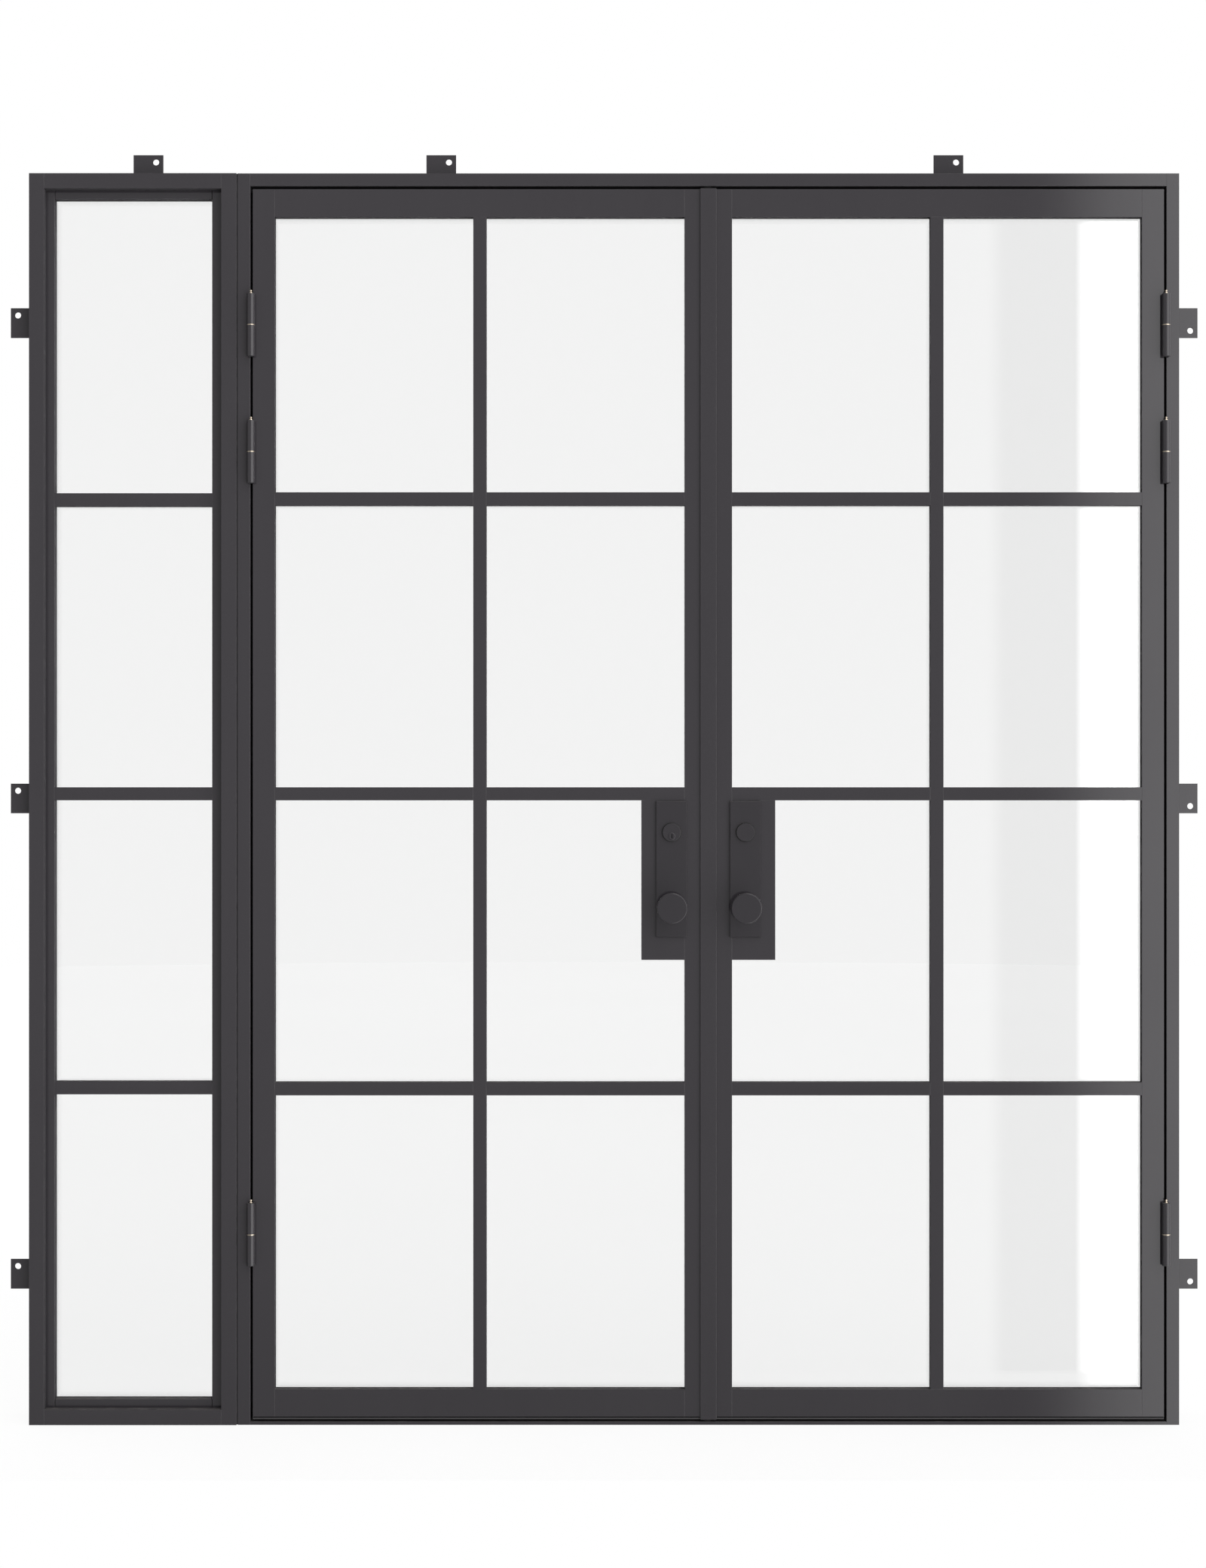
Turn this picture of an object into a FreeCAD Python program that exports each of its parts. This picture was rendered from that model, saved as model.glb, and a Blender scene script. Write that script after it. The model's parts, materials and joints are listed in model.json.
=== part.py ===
import FreeCAD, Part
import os
import Sketcher

# Steel double door with one sidelight.
# Millimetres, +Z up, the viewer's side is -Y. The origin lies on the frame's underside, midway
# across the whole width and midway through the frame's depth.

DOCUMENT = FreeCAD.newDocument("DoorWithSidelight")
SIZES = DOCUMENT.addObject("Spreadsheet::Sheet", "Sizes")

# Driving dimensions

DRIVING = [
    ("overall_height", 2432),
    ("door_unit_width", 1830),
    ("sidelight_width", 405),
    ("frame_depth", 140),
    ("sidelight_proud", 2.5),
    ("jamb_face", 24.5),
    ("head_face", 24.5),
    ("stop_reach", 16),
    ("joint_line", 0.3),
    ("threshold_thickness", 6),
    ("threshold_stop_rise", 18),
    ("threshold_stop_top", 16),
    ("leaf_thickness", 57),
    ("side_gap", 5),
    ("top_gap", 6.2),
    ("bottom_gap", 5),
    ("meeting_gap", 6),
    ("meeting_bevel", 3),
    ("stop_gap", 8),
    ("stile_width", 43),
    ("rail_width", 54),
    ("muntin_width", 25.5),
    ("middle_muntin_height", 1226.3),
    ("muntin_spacing", 573.3),
    ("glazing_recess", 19),
    ("glass_thickness", 19),
    ("glass_bite", 8),
    ("glass_edge_room", 1),
    ("inside_bead_depth", 17),
    ("inside_bead_setback", 4),
    ("inside_bead_slope", 2.5),
    ("sweep_drop", 4),
    ("sweep_inset", 0.6),
    ("sweep_relief", 0.8),
    ("sweep_relief_width", 3),
    ("gasket_width", 9),
    ("gasket_slope", 2.25),
    ("gasket_room", 5),
    ("astragal_width", 31),
    ("astragal_thickness", 3),
    ("astragal_room", 0.6),
    ("astragal_head_room", 5.2),
    ("sidelight_jamb_face", 29.5),
    ("sidelight_mull_face", 31.5),
    ("sidelight_rail_face", 29.5),
    ("sidelight_step", 7),
    ("seam_groove_width", 2),
    ("seam_groove_depth", 6),
    ("bead_recess", 20),
    ("bead_width", 17.3),
    ("mull_bead_width", 21),
    ("bead_bevel_depth", 4),
    ("bead_bevel_width", 1),
    ("tab_length", 58),
    ("tab_reach", 41),
    ("tab_thickness", 3),
    ("tab_hole_diameter", 12),
    ("tab_hole_edge", 14),
    ("tab_setback", 25),
    ("side_tab_rise", 289.1),
    ("side_tab_drop", 286.7),
    ("top_tab_first", -889.9),
    ("top_tab_second", -318.1),
    ("top_tab_third", 672.2),
    ("barrel_diameter", 16),
    ("barrel_length", 121),
    ("hinge_axis_reach", 9),
    ("hinge_pin_diameter", 9),
    ("hinge_pin_length", 45),
    ("hinge_pin_clearance", 0.05),
    ("hinge_pin_end_room", 1),
    ("hinge_washer_thickness", 2),
    ("hinge_washer_room", 0.3),
    ("hinge_web_inset", 1),
    ("hinge_web_depth", 5),
    ("nipple_base_diameter", 6.4),
    ("nipple_base_height", 2.5),
    ("nipple_neck_diameter", 3.2),
    ("nipple_neck_height", 2.5),
    ("nipple_head_diameter", 5),
    ("nipple_head_height", 3),
    ("low_hinge_rise", 356.5),
    ("top_hinge_drop", 265.3),
    ("hinge_pair_spacing", 246),
    ("lock_box_width", 84),
    ("lock_box_height", 310),
    ("escutcheon_width", 60),
    ("escutcheon_height", 264),
    ("escutcheon_thickness", 6),
    ("escutcheon_chamfer", 1),
    ("escutcheon_top_inset", 1.5),
    ("escutcheon_lap", 4.3),
    ("cylinder_diameter", 35),
    ("cylinder_proud", 5),
    ("cylinder_above_knob", 145.5),
    ("plug_diameter", 13.5),
    ("plug_drop", 7.5),
    ("plug_proud", 1),
    ("keyway_width", 2.4),
    ("keyway_height", 8.5),
    ("keyway_depth", 5),
    ("turn_length", 30),
    ("turn_thickness", 7),
    ("turn_reach", 16),
    ("knob_drop", 207.5),
    ("knob_diameter", 59),
    ("knob_thickness", 14),
    ("knob_edge", 1.5),
    ("knob_reach", 54),
    ("knob_neck_diameter", 22),
    ("knob_bearing_clearance", 0.05),
    ("knob_end_room", 0.3),
    ("spindle_diameter", 14),
    ("spindle_grip", 16),
    ("spindle_room", 1),
]

for row, (alias, size) in enumerate(DRIVING, start=1):
    SIZES.set(f"A{row}", alias)
    SIZES.set(f"B{row}", str(size))
    SIZES.setAlias(f"B{row}", alias)
DOCUMENT.recompute()


def size(name):
    """The expression that reads one driving dimension."""
    return f"Sizes.{name}"


def number(text):
    """The present value of an expression, in millimetres."""
    return float(SIZES.evalExpression(text))


# Planes and edges that several pieces share, as expressions

LEFT = f"(-({size('sidelight_width')} + {size('door_unit_width')}) / 2)"
RIGHT = f"(({size('sidelight_width')} + {size('door_unit_width')}) / 2)"
SEAM = f"({LEFT} + {size('sidelight_width')})"
TOP = size("overall_height")
FRONT = f"(-{size('frame_depth')} / 2)"
BACK = f"({size('frame_depth')} / 2)"
LEFT_REVEAL = f"({SEAM} + {size('jamb_face')})"
RIGHT_REVEAL = f"({RIGHT} - {size('jamb_face')})"
HEAD_UNDERSIDE = f"({TOP} - {size('head_face')})"
MEETING = f"(({LEFT_REVEAL} + {RIGHT_REVEAL}) / 2)"
LEAF_LEFT = f"({LEFT_REVEAL} + {size('side_gap')})"
LEAF_RIGHT = f"({MEETING} - {size('meeting_gap')} / 2)"
LEAF_BACK = f"({FRONT} + {size('leaf_thickness')})"
LEAF_TOP = f"({HEAD_UNDERSIDE} - {size('top_gap')})"
SWEEP_BOTTOM = f"({size('threshold_thickness')} + {size('bottom_gap')})"
LEAF_BOTTOM = f"({SWEEP_BOTTOM} + {size('sweep_drop')})"
LEAF_HEIGHT = f"({LEAF_TOP} - {LEAF_BOTTOM})"
STOP_FACE = f"({LEAF_BACK} + {size('stop_gap')})"
GLASS_FRONT = f"({FRONT} + {size('glazing_recess')})"
GROOVE_DEPTH = f"({size('glass_bite')} + {size('glass_edge_room')})"
STILE_INNER_LEFT = f"({LEAF_LEFT} + {size('stile_width')})"
STILE_INNER_RIGHT = f"({LEAF_RIGHT} - {size('stile_width')})"
RAIL_TOP = f"({LEAF_BOTTOM} + {size('rail_width')})"
RAIL_UNDERSIDE = f"({LEAF_TOP} - {size('rail_width')})"
MULLION_CENTRE = f"(({STILE_INNER_LEFT} + {STILE_INNER_RIGHT}) / 2)"
HALF_MUNTIN = f"({size('muntin_width')} / 2)"
HALF_WEB = f"({HALF_MUNTIN} - {GROOVE_DEPTH})"
MUNTIN_CENTRES = [
    f"({size('middle_muntin_height')} - {size('muntin_spacing')})",
    size("middle_muntin_height"),
    f"({size('middle_muntin_height')} + {size('muntin_spacing')})",
]
TOP_HINGE = f"({LEAF_TOP} - {size('top_hinge_drop')})"
HINGE_HEIGHTS = [
    f"({LEAF_BOTTOM} + {size('low_hinge_rise')})",
    f"({TOP_HINGE} - {size('hinge_pair_spacing')})",
    TOP_HINGE,
]

# Sub-part makers

EXPORTED = []


def keep(thing, name):
    """Mark a finished object as the sub-part that bears this name."""
    thing.Label = name
    EXPORTED.append(thing)
    return thing


def place(thing, x="0", y="0", z="0"):
    """Tie an object's position to the driving dimensions."""
    for axis, text in (("x", x), ("y", y), ("z", z)):
        thing.setExpression(f"Placement.Base.{axis}", text)
    return thing


def draw_outline(sketch, corners):
    """A closed outline whose corners each keep an expression for both coordinates."""
    points = [FreeCAD.Vector(number(x), number(y), 0) for x, y in corners]
    first = sketch.GeometryCount
    count = len(points)
    for index in range(count):
        sketch.addGeometry(Part.LineSegment(points[index], points[(index + 1) % count]), False)
    for index in range(count):
        following = first + (index + 1) % count
        sketch.addConstraint(Sketcher.Constraint("Coincident", first + index, 2, following, 1))
    for index, (x, y) in enumerate(corners):
        for kind, text, value in (("DistanceX", x, points[index].x), ("DistanceY", y, points[index].y)):
            rule = sketch.addConstraint(Sketcher.Constraint(kind, -1, 1, first + index, 1, value))
            sketch.setExpression(f"Constraints[{rule}]", text)


def draw_circle(sketch, x, y, diameter):
    """A circle tied to expressions for its centre and diameter."""
    centre = FreeCAD.Vector(number(x), number(y), 0)
    curve = sketch.addGeometry(Part.Circle(centre, FreeCAD.Vector(0, 0, 1), number(diameter) / 2), False)
    rules = (
        (Sketcher.Constraint("DistanceX", -1, 1, curve, 3, centre.x), x),
        (Sketcher.Constraint("DistanceY", -1, 1, curve, 3, centre.y), y),
        (Sketcher.Constraint("Diameter", curve, number(diameter)), diameter),
    )
    for constraint, text in rules:
        rule = sketch.addConstraint(constraint)
        sketch.setExpression(f"Constraints[{rule}]", text)


def new_sketch(body, plane):
    """An empty sketch on one of the body's own origin planes."""
    sketch = body.newObject("Sketcher::SketchObject", f"{body.Name}_sketch")
    support = [feature for feature in body.Origin.OriginFeatures if feature.Role == plane][0]
    sketch.AttachmentSupport = [(support, "")]
    sketch.MapMode = "FlatFace"
    return sketch


def padded(name, plane, corners, length, holes=()):
    """A body made by padding one outline, with round holes where they are given."""
    body = DOCUMENT.addObject("PartDesign::Body", name)
    sketch = new_sketch(body, plane)
    draw_outline(sketch, corners)
    for x, y, diameter in holes:
        draw_circle(sketch, x, y, diameter)
    pad = body.newObject("PartDesign::Pad", f"{name}_pad")
    pad.Profile = sketch
    pad.setExpression("Length", length)
    return body


def upright(name, corners, bottom, top):
    """A vertical bar from its plan section."""
    body = padded(name, "XY_Plane", corners, f"{top} - {bottom}")
    return place(body, z=bottom)


def level(name, corners, left, right):
    """A horizontal bar from its section seen from the side."""
    body = padded(name, "YZ_Plane", corners, f"{right} - {left}")
    return place(body, x=left)


def plate(name, corners, front, back, holes=()):
    """A flat piece from its outline seen from the front."""
    body = padded(name, "XZ_Plane", corners, f"{back} - {front}", holes)
    return place(body, y=back)


def turned(name, plane, corners):
    """A round piece, revolved about the sketch's upright axis."""
    body = DOCUMENT.addObject("PartDesign::Body", name)
    sketch = new_sketch(body, plane)
    draw_outline(sketch, corners)
    revolution = body.newObject("PartDesign::Revolution", f"{name}_turn")
    revolution.Profile = sketch
    revolution.ReferenceAxis = (sketch, ["V_Axis"])
    revolution.Angle = 360
    return body


def rectangle(x0, y0, x1, y1):
    """The four corners of an upright rectangle."""
    return [(x0, y0), (x1, y0), (x1, y1), (x0, y1)]


def opening(edges, grow):
    """Corners of a pane's opening with every edge moved outward; six edges notch it at one corner."""
    left, low = [f"({edge} - {grow})" for edge in edges[:2]]
    right, high = [f"({edge} + {grow})" for edge in edges[2:4]]
    if len(edges) == 4:
        return rectangle(left, low, right, high)
    side, foot = [f"({edge} + {grow})" for edge in edges[4:]]
    return [(left, low), (right, low), (right, foot), (side, foot), (side, high), (left, high)]


def tapered(name, near, far, front, back):
    """A solid whose outline changes evenly between two depths."""
    sections = []
    for label, corners, depth in (("near", near, front), ("far", far, back)):
        sketch = DOCUMENT.addObject("Sketcher::SketchObject", f"{name}_{label}")
        draw_outline(sketch, corners)
        sketch.Placement.Rotation = FreeCAD.Rotation(FreeCAD.Vector(1, 0, 0), 90)
        sections.append(place(sketch, y=depth))
    loft = DOCUMENT.addObject("Part::Loft", name)
    loft.Sections = sections
    loft.Solid = True
    loft.Ruled = True
    return loft


def grouped(name, pieces):
    """Like pieces that share one sub-part without touching."""
    group = DOCUMENT.addObject("Part::Compound", name)
    group.Links = pieces
    return group


def mirrored(name, source):
    """The right leaf's twin of a left leaf piece, across the meeting line."""
    twin = DOCUMENT.addObject("Part::Mirroring", name)
    twin.Source = source
    twin.Normal = (1, 0, 0)
    twin.setExpression("Base.x", MEETING)
    return twin


def cut(name, base, tools):
    """A piece with other shapes taken out of it."""
    removed = tools[0]
    if len(tools) > 1:
        removed = DOCUMENT.addObject("Part::MultiFuse", f"{name}_removed")
        removed.Shapes = tools
    result = DOCUMENT.addObject("Part::Cut", name)
    result.Base = base
    result.Tool = removed
    return result


def fused(name, pieces):
    """Shapes joined into one solid."""
    result = DOCUMENT.addObject("Part::MultiFuse", name)
    result.Shapes = pieces
    result.Refine = True
    return result


# Door frame

def door_frame():
    jambs = (("door_jamb_left", SEAM, LEFT_REVEAL), ("door_jamb_right", RIGHT_REVEAL, RIGHT))
    for name, inner, outer in jambs:
        keep(upright(f"{name}_bar", rectangle(inner, FRONT, outer, BACK), "0", TOP), name)
    head_section = rectangle(FRONT, HEAD_UNDERSIDE, BACK, TOP)
    keep(level("door_head_bar", head_section, LEFT_REVEAL, RIGHT_REVEAL), "door_head")
    plate_section = rectangle(FRONT, "0", BACK, size("threshold_thickness"))
    keep(level("threshold_bar", plate_section, LEFT_REVEAL, RIGHT_REVEAL), "threshold")


def door_stops():
    """Stops behind the leaves on three sides, and a raised one with a ramp on the threshold."""
    reach = size("stop_reach")
    floor = size("threshold_thickness")
    left = rectangle(LEFT_REVEAL, STOP_FACE, f"{LEFT_REVEAL} + {reach}", BACK)
    right = rectangle(f"{RIGHT_REVEAL} - {reach}", STOP_FACE, RIGHT_REVEAL, BACK)
    head = rectangle(STOP_FACE, f"{HEAD_UNDERSIDE} - {reach}", BACK, HEAD_UNDERSIDE)
    clear_left = f"({LEFT_REVEAL} + {reach} + {size('joint_line')})"
    clear_right = f"({RIGHT_REVEAL} - {reach} - {size('joint_line')})"
    crest = f"{floor} + {size('threshold_stop_rise')}"
    ramp = [
        (STOP_FACE, floor),
        (BACK, floor),
        (f"{STOP_FACE} + {size('threshold_stop_top')}", crest),
        (STOP_FACE, crest),
    ]
    bars = [
        upright("stop_left_bar", left, floor, HEAD_UNDERSIDE),
        upright("stop_right_bar", right, floor, HEAD_UNDERSIDE),
        level("stop_head_bar", head, clear_left, clear_right),
        level("stop_threshold_bar", ramp, clear_left, clear_right),
    ]
    keep(grouped("stop_group", bars), "door_stops")


def door_gaskets():
    """Flat-backed bulbs on the faces of the stops, just short of the closed leaves."""
    width = size("gasket_width")
    tip = f"({LEAF_BACK} + {size('gasket_room')})"
    slope = size("gasket_slope")
    reach = size("stop_reach")

    def bulb(start, direction):
        far = f"{start} {direction} {width}"
        near_tip = f"{start} {direction} {slope}"
        far_tip = f"{start} {direction} ({width} - {slope})"
        return [(start, STOP_FACE), (far, STOP_FACE), (far_tip, tip), (near_tip, tip)]

    floor = f"({size('threshold_thickness')} + {size('threshold_stop_rise')})"
    under_head = f"({HEAD_UNDERSIDE} - {reach})"
    left_start = f"({LEFT_REVEAL} + {reach} - {width})"
    right_start = f"({RIGHT_REVEAL} - {reach} + {width})"
    left = upright("gasket_left", bulb(left_start, "+"), floor, under_head)
    right = upright("gasket_right", bulb(right_start, "-"), floor, under_head)
    head_section = [(y, z) for z, y in bulb(f"({under_head})", "+")]
    head = level("gasket_head", head_section, LEFT_REVEAL, RIGHT_REVEAL)
    foot_section = [(y, z) for z, y in bulb(f"({floor} - {width})", "+")]
    inner_left = f"({LEFT_REVEAL} + {reach})"
    inner_right = f"({RIGHT_REVEAL} - {reach})"
    foot = level("gasket_threshold", foot_section, inner_left, inner_right)
    keep(grouped("gasket_group", [left, right, head, foot]), "door_gaskets")


# Sidelight

SIDE_FRONT = f"({FRONT} - {size('sidelight_proud')})"
SIDE_BACK = f"({BACK} - {size('sidelight_proud')})"
SIDE_LEFT = f"({LEFT} + {size('sidelight_jamb_face')})"
SIDE_RIGHT = f"({SEAM} - {size('sidelight_mull_face')})"
SIDE_LOW = size("sidelight_rail_face")
SIDE_HIGH = f"({TOP} - {size('sidelight_rail_face')})"
BEAD_FRONT = f"({SIDE_FRONT} + {size('bead_recess')})"
SIDE_GLASS_FRONT = f"({BEAD_FRONT} + {size('glazing_recess')})"
SIDE_GLASS_BACK = f"({SIDE_GLASS_FRONT} + {size('glass_thickness')})"
SIDE_BAR_BACK = f"({SIDE_GLASS_BACK} + {size('glazing_recess')})"
LITE_LEFT = f"({SIDE_LEFT} + {size('bead_width')})"
LITE_RIGHT = f"({SIDE_RIGHT} - {size('mull_bead_width')})"
LITE_LOW = f"({SIDE_LOW} + {size('bead_width')})"
LITE_HIGH = f"({SIDE_HIGH} - {size('bead_width')})"


def stepped(outer, inner):
    """A sidelight bar's section: it steps back from the opening behind the inside beads."""
    away = "-" if number(inner) > number(outer) else "+"
    behind = f"({inner} {away} {size('sidelight_step')})"
    return [
        (outer, SIDE_FRONT),
        (inner, SIDE_FRONT),
        (inner, SIDE_BAR_BACK),
        (behind, SIDE_BAR_BACK),
        (behind, SIDE_BACK),
        (outer, SIDE_BACK),
    ]


def sidelight_frame():
    """Jambs run full height, sill and head are cut to fit them; a groove marks the seam to the door."""
    jambs = [
        upright("sidelight_left_bar", stepped(LEFT, SIDE_LEFT), "0", TOP),
        upright("sidelight_right_bar", stepped(SEAM, SIDE_RIGHT), "0", TOP),
    ]
    groove_left = f"({SEAM} - {size('seam_groove_width')})"
    groove_back = f"({SIDE_FRONT} + {size('seam_groove_depth')})"
    groove = upright("seam_groove", rectangle(groove_left, SIDE_FRONT, SEAM, groove_back), "0", TOP)
    keep(jambs[0], "sidelight_jamb_left")
    keep(cut("sidelight_right_grooved", jambs[1], [groove]), "sidelight_jamb_right")
    rails = []
    for name, outer, inner in (("sill", "0", SIDE_LOW), ("head", TOP, SIDE_HIGH)):
        section = [(y, z) for z, y in stepped(outer, inner)]
        rails.append(level(f"sidelight_{name}_bar", section, LEFT, SEAM))
    fitted = cut("sidelight_rails_fitted", grouped("sidelight_rail_group", rails), jambs)
    keep(fitted, "sidelight_rails")


def pane_rows(lowest, highest):
    """The low and high edge of each opening between two rails and the three bars."""
    lows = [lowest] + [f"({centre} + {HALF_MUNTIN})" for centre in MUNTIN_CENTRES]
    highs = [f"({centre} - {HALF_MUNTIN})" for centre in MUNTIN_CENTRES] + [highest]
    return list(zip(lows, highs))


def bar_section(centre, front, glass_front, back):
    """A glazing bar: a flat face on a thin web that parts the panes."""
    return [
        (f"{centre} - {HALF_MUNTIN}", front),
        (f"{centre} + {HALF_MUNTIN}", front),
        (f"{centre} + {HALF_MUNTIN}", glass_front),
        (f"{centre} + {HALF_WEB}", glass_front),
        (f"{centre} + {HALF_WEB}", back),
        (f"{centre} - {HALF_WEB}", back),
        (f"{centre} - {HALF_WEB}", glass_front),
        (f"{centre} - {HALF_MUNTIN}", glass_front),
    ]


def inside_bead(name, walls, edges, glass_back):
    """The bead that holds a pane from inside: a ring whose inner sides slope away from the glass."""
    back = f"({glass_back} + {size('inside_bead_depth')})"
    setback = size("inside_bead_setback")
    at_glass = opening(edges, setback)
    at_room = opening(edges, f"({setback} + {size('inside_bead_slope')})")
    bar = plate(f"{name}_bar", walls, glass_back, back)
    return cut(name, bar, [tapered(f"{name}_light", at_glass, at_room, glass_back, back)])


def front_bead_section(wall, lite):
    """A flat glazing bead with its inner corner bevelled towards the glass."""
    inward = "-" if number(lite) > number(wall) else "+"
    return [
        (wall, BEAD_FRONT),
        (f"{lite} {inward} {size('bead_bevel_width')}", BEAD_FRONT),
        (lite, f"{BEAD_FRONT} + {size('bead_bevel_depth')}"),
        (lite, SIDE_GLASS_FRONT),
        (wall, SIDE_GLASS_FRONT),
    ]


def sidelight_front_beads():
    """Uprights run full height, level ones fit between them."""
    between_left = f"({LITE_LEFT} + {size('joint_line')})"
    between_right = f"({LITE_RIGHT} - {size('joint_line')})"
    low = [(y, z) for z, y in front_bead_section(SIDE_LOW, LITE_LOW)]
    high = [(y, z) for z, y in front_bead_section(SIDE_HIGH, LITE_HIGH)]
    return [
        upright("front_bead_left", front_bead_section(SIDE_LEFT, LITE_LEFT), SIDE_LOW, SIDE_HIGH),
        upright("front_bead_right", front_bead_section(SIDE_RIGHT, LITE_RIGHT), SIDE_LOW, SIDE_HIGH),
        level("front_bead_low", low, between_left, between_right),
        level("front_bead_high", high, between_left, between_right),
    ]


def sidelight_glazing():
    """Four panes between flat front beads and sloped inside ones, parted by three bars."""
    front_beads = sidelight_front_beads()
    bars = []
    for index, centre in enumerate(MUNTIN_CENTRES):
        section = bar_section(centre, BEAD_FRONT, SIDE_GLASS_FRONT, SIDE_BAR_BACK)
        swapped = [(y, z) for z, y in section]
        bars.append(level(f"sidelight_bar_{index + 1}", swapped, SIDE_LEFT, SIDE_RIGHT))
    keep(cut("sidelight_bars", grouped("sidelight_bar_group", bars), front_beads), "sidelight_muntins")
    panes = []
    beads = []
    rows = pane_rows(LITE_LOW, LITE_HIGH)
    for index, (low, high) in enumerate(rows):
        edges = [LITE_LEFT, low, LITE_RIGHT, high]
        wall_low = SIDE_LOW if index == 0 else f"({low} - {GROOVE_DEPTH})"
        wall_high = SIDE_HIGH if index == len(rows) - 1 else f"({high} + {GROOVE_DEPTH})"
        walls = rectangle(SIDE_LEFT, wall_low, SIDE_RIGHT, wall_high)
        outline = opening(edges, size("glass_bite"))
        panes.append(plate(f"sidelight_pane_{index + 1}", outline, SIDE_GLASS_FRONT, SIDE_GLASS_BACK))
        beads.append(inside_bead(f"sidelight_bead_{index + 1}", walls, edges, SIDE_GLASS_BACK))
    keep(grouped("sidelight_pane_group", panes), "sidelight_glass")
    keep(grouped("sidelight_bead_group", front_beads + beads), "sidelight_beads")


# Door leaves: the left one is built, its twin is mirrored

GLASS_BACK = f"({GLASS_FRONT} + {size('glass_thickness')})"
LOCK_BOX_LEFT = f"({STILE_INNER_RIGHT} - {size('lock_box_width')})"
LOCK_BOX_TOP = f"({MUNTIN_CENTRES[1]} - {HALF_MUNTIN})"
LOCK_BOX_LOW = f"({LOCK_BOX_TOP} - {size('lock_box_height')})"
LOCK_RIGHT = f"({STILE_INNER_RIGHT} + {size('escutcheon_lap')})"
LOCK_CENTRE = f"({LOCK_RIGHT} - {size('escutcheon_width')} / 2)"
KNOB_LEVEL = f"({LOCK_BOX_TOP} - {size('knob_drop')})"
CYLINDER_LEVEL = f"({KNOB_LEVEL} + {size('cylinder_above_knob')})"


def rebated(outer_front, outer_back, inner, wall):
    """A frame bar with a rebate on its inner side, open at the back, for pane and bead."""
    return [
        (outer_front, FRONT),
        (inner, FRONT),
        (inner, GLASS_FRONT),
        (wall, GLASS_FRONT),
        (wall, LEAF_BACK),
        (outer_back, LEAF_BACK),
    ]


def leaf_frame():
    """Stiles run full height, rails and glazing bars are cut to fit them; the meeting edge is bevelled."""
    left_wall = f"({STILE_INNER_LEFT} - {GROOVE_DEPTH})"
    right_wall = f"({STILE_INNER_RIGHT} + {GROOVE_DEPTH})"
    low_wall = f"({RAIL_TOP} - {GROOVE_DEPTH})"
    high_wall = f"({RAIL_UNDERSIDE} + {GROOVE_DEPTH})"
    hinge_side = rebated(LEAF_LEFT, LEAF_LEFT, STILE_INNER_LEFT, left_wall)
    meeting_back = f"({LEAF_RIGHT} - {size('meeting_bevel')})"
    meeting_side = rebated(LEAF_RIGHT, meeting_back, STILE_INNER_RIGHT, right_wall)
    stiles = [
        upright("hinge_stile_bar", hinge_side, LEAF_BOTTOM, LEAF_TOP),
        upright("meeting_stile_bar", meeting_side, LEAF_BOTTOM, LEAF_TOP),
    ]
    rails = []
    low = rebated(LEAF_BOTTOM, LEAF_BOTTOM, RAIL_TOP, low_wall)
    high = rebated(LEAF_TOP, LEAF_TOP, RAIL_UNDERSIDE, high_wall)
    for name, section in (("bottom_rail", low), ("top_rail", high)):
        swapped = [(y, z) for z, y in section]
        rails.append(level(f"{name}_bar", swapped, left_wall, right_wall))
    fitted_rails = cut("rails_fitted", grouped("rail_group", rails), stiles)
    mullion_section = bar_section(MULLION_CENTRE, FRONT, GLASS_FRONT, LEAF_BACK)
    mullion = cut("mullion_fitted", upright("mullion_bar", mullion_section, low_wall, high_wall), [fitted_rails])
    muntins = []
    for index, centre in enumerate(MUNTIN_CENTRES):
        swapped = [(y, z) for z, y in bar_section(centre, FRONT, GLASS_FRONT, LEAF_BACK)]
        muntins.append(level(f"muntin_bar_{index + 1}", swapped, left_wall, right_wall))
    return {
        "hinge_stile": stiles[0],
        "meeting_stile": stiles[1],
        "rails": fitted_rails,
        "mullion": mullion,
        "muntins": cut("muntins_fitted", grouped("muntin_group", muntins), stiles + [mullion]),
    }


def leaf_glazing():
    """Eight panes and their inside beads; the pane beside the lock box is notched round it."""
    bays = (
        ("outer", STILE_INNER_LEFT, f"({MULLION_CENTRE} - {HALF_MUNTIN})"),
        ("inner", f"({MULLION_CENTRE} + {HALF_MUNTIN})", STILE_INNER_RIGHT),
    )
    notched = ("inner", 1)
    panes = []
    beads = []
    for side, left, right in bays:
        for index, (low, high) in enumerate(pane_rows(RAIL_TOP, RAIL_UNDERSIDE)):
            edges = [left, low, right, high]
            if (side, index) == notched:
                edges += [LOCK_BOX_LEFT, LOCK_BOX_LOW]
            label = f"{side}_{index + 1}"
            outline = opening(edges, size("glass_bite"))
            panes.append(plate(f"pane_{label}", outline, GLASS_FRONT, GLASS_BACK))
            beads.append(inside_bead(f"bead_{label}", opening(edges, GROOVE_DEPTH), edges, GLASS_BACK))
    return {"glass": grouped("pane_group", panes), "glazing_beads": grouped("bead_group", beads)}


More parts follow.
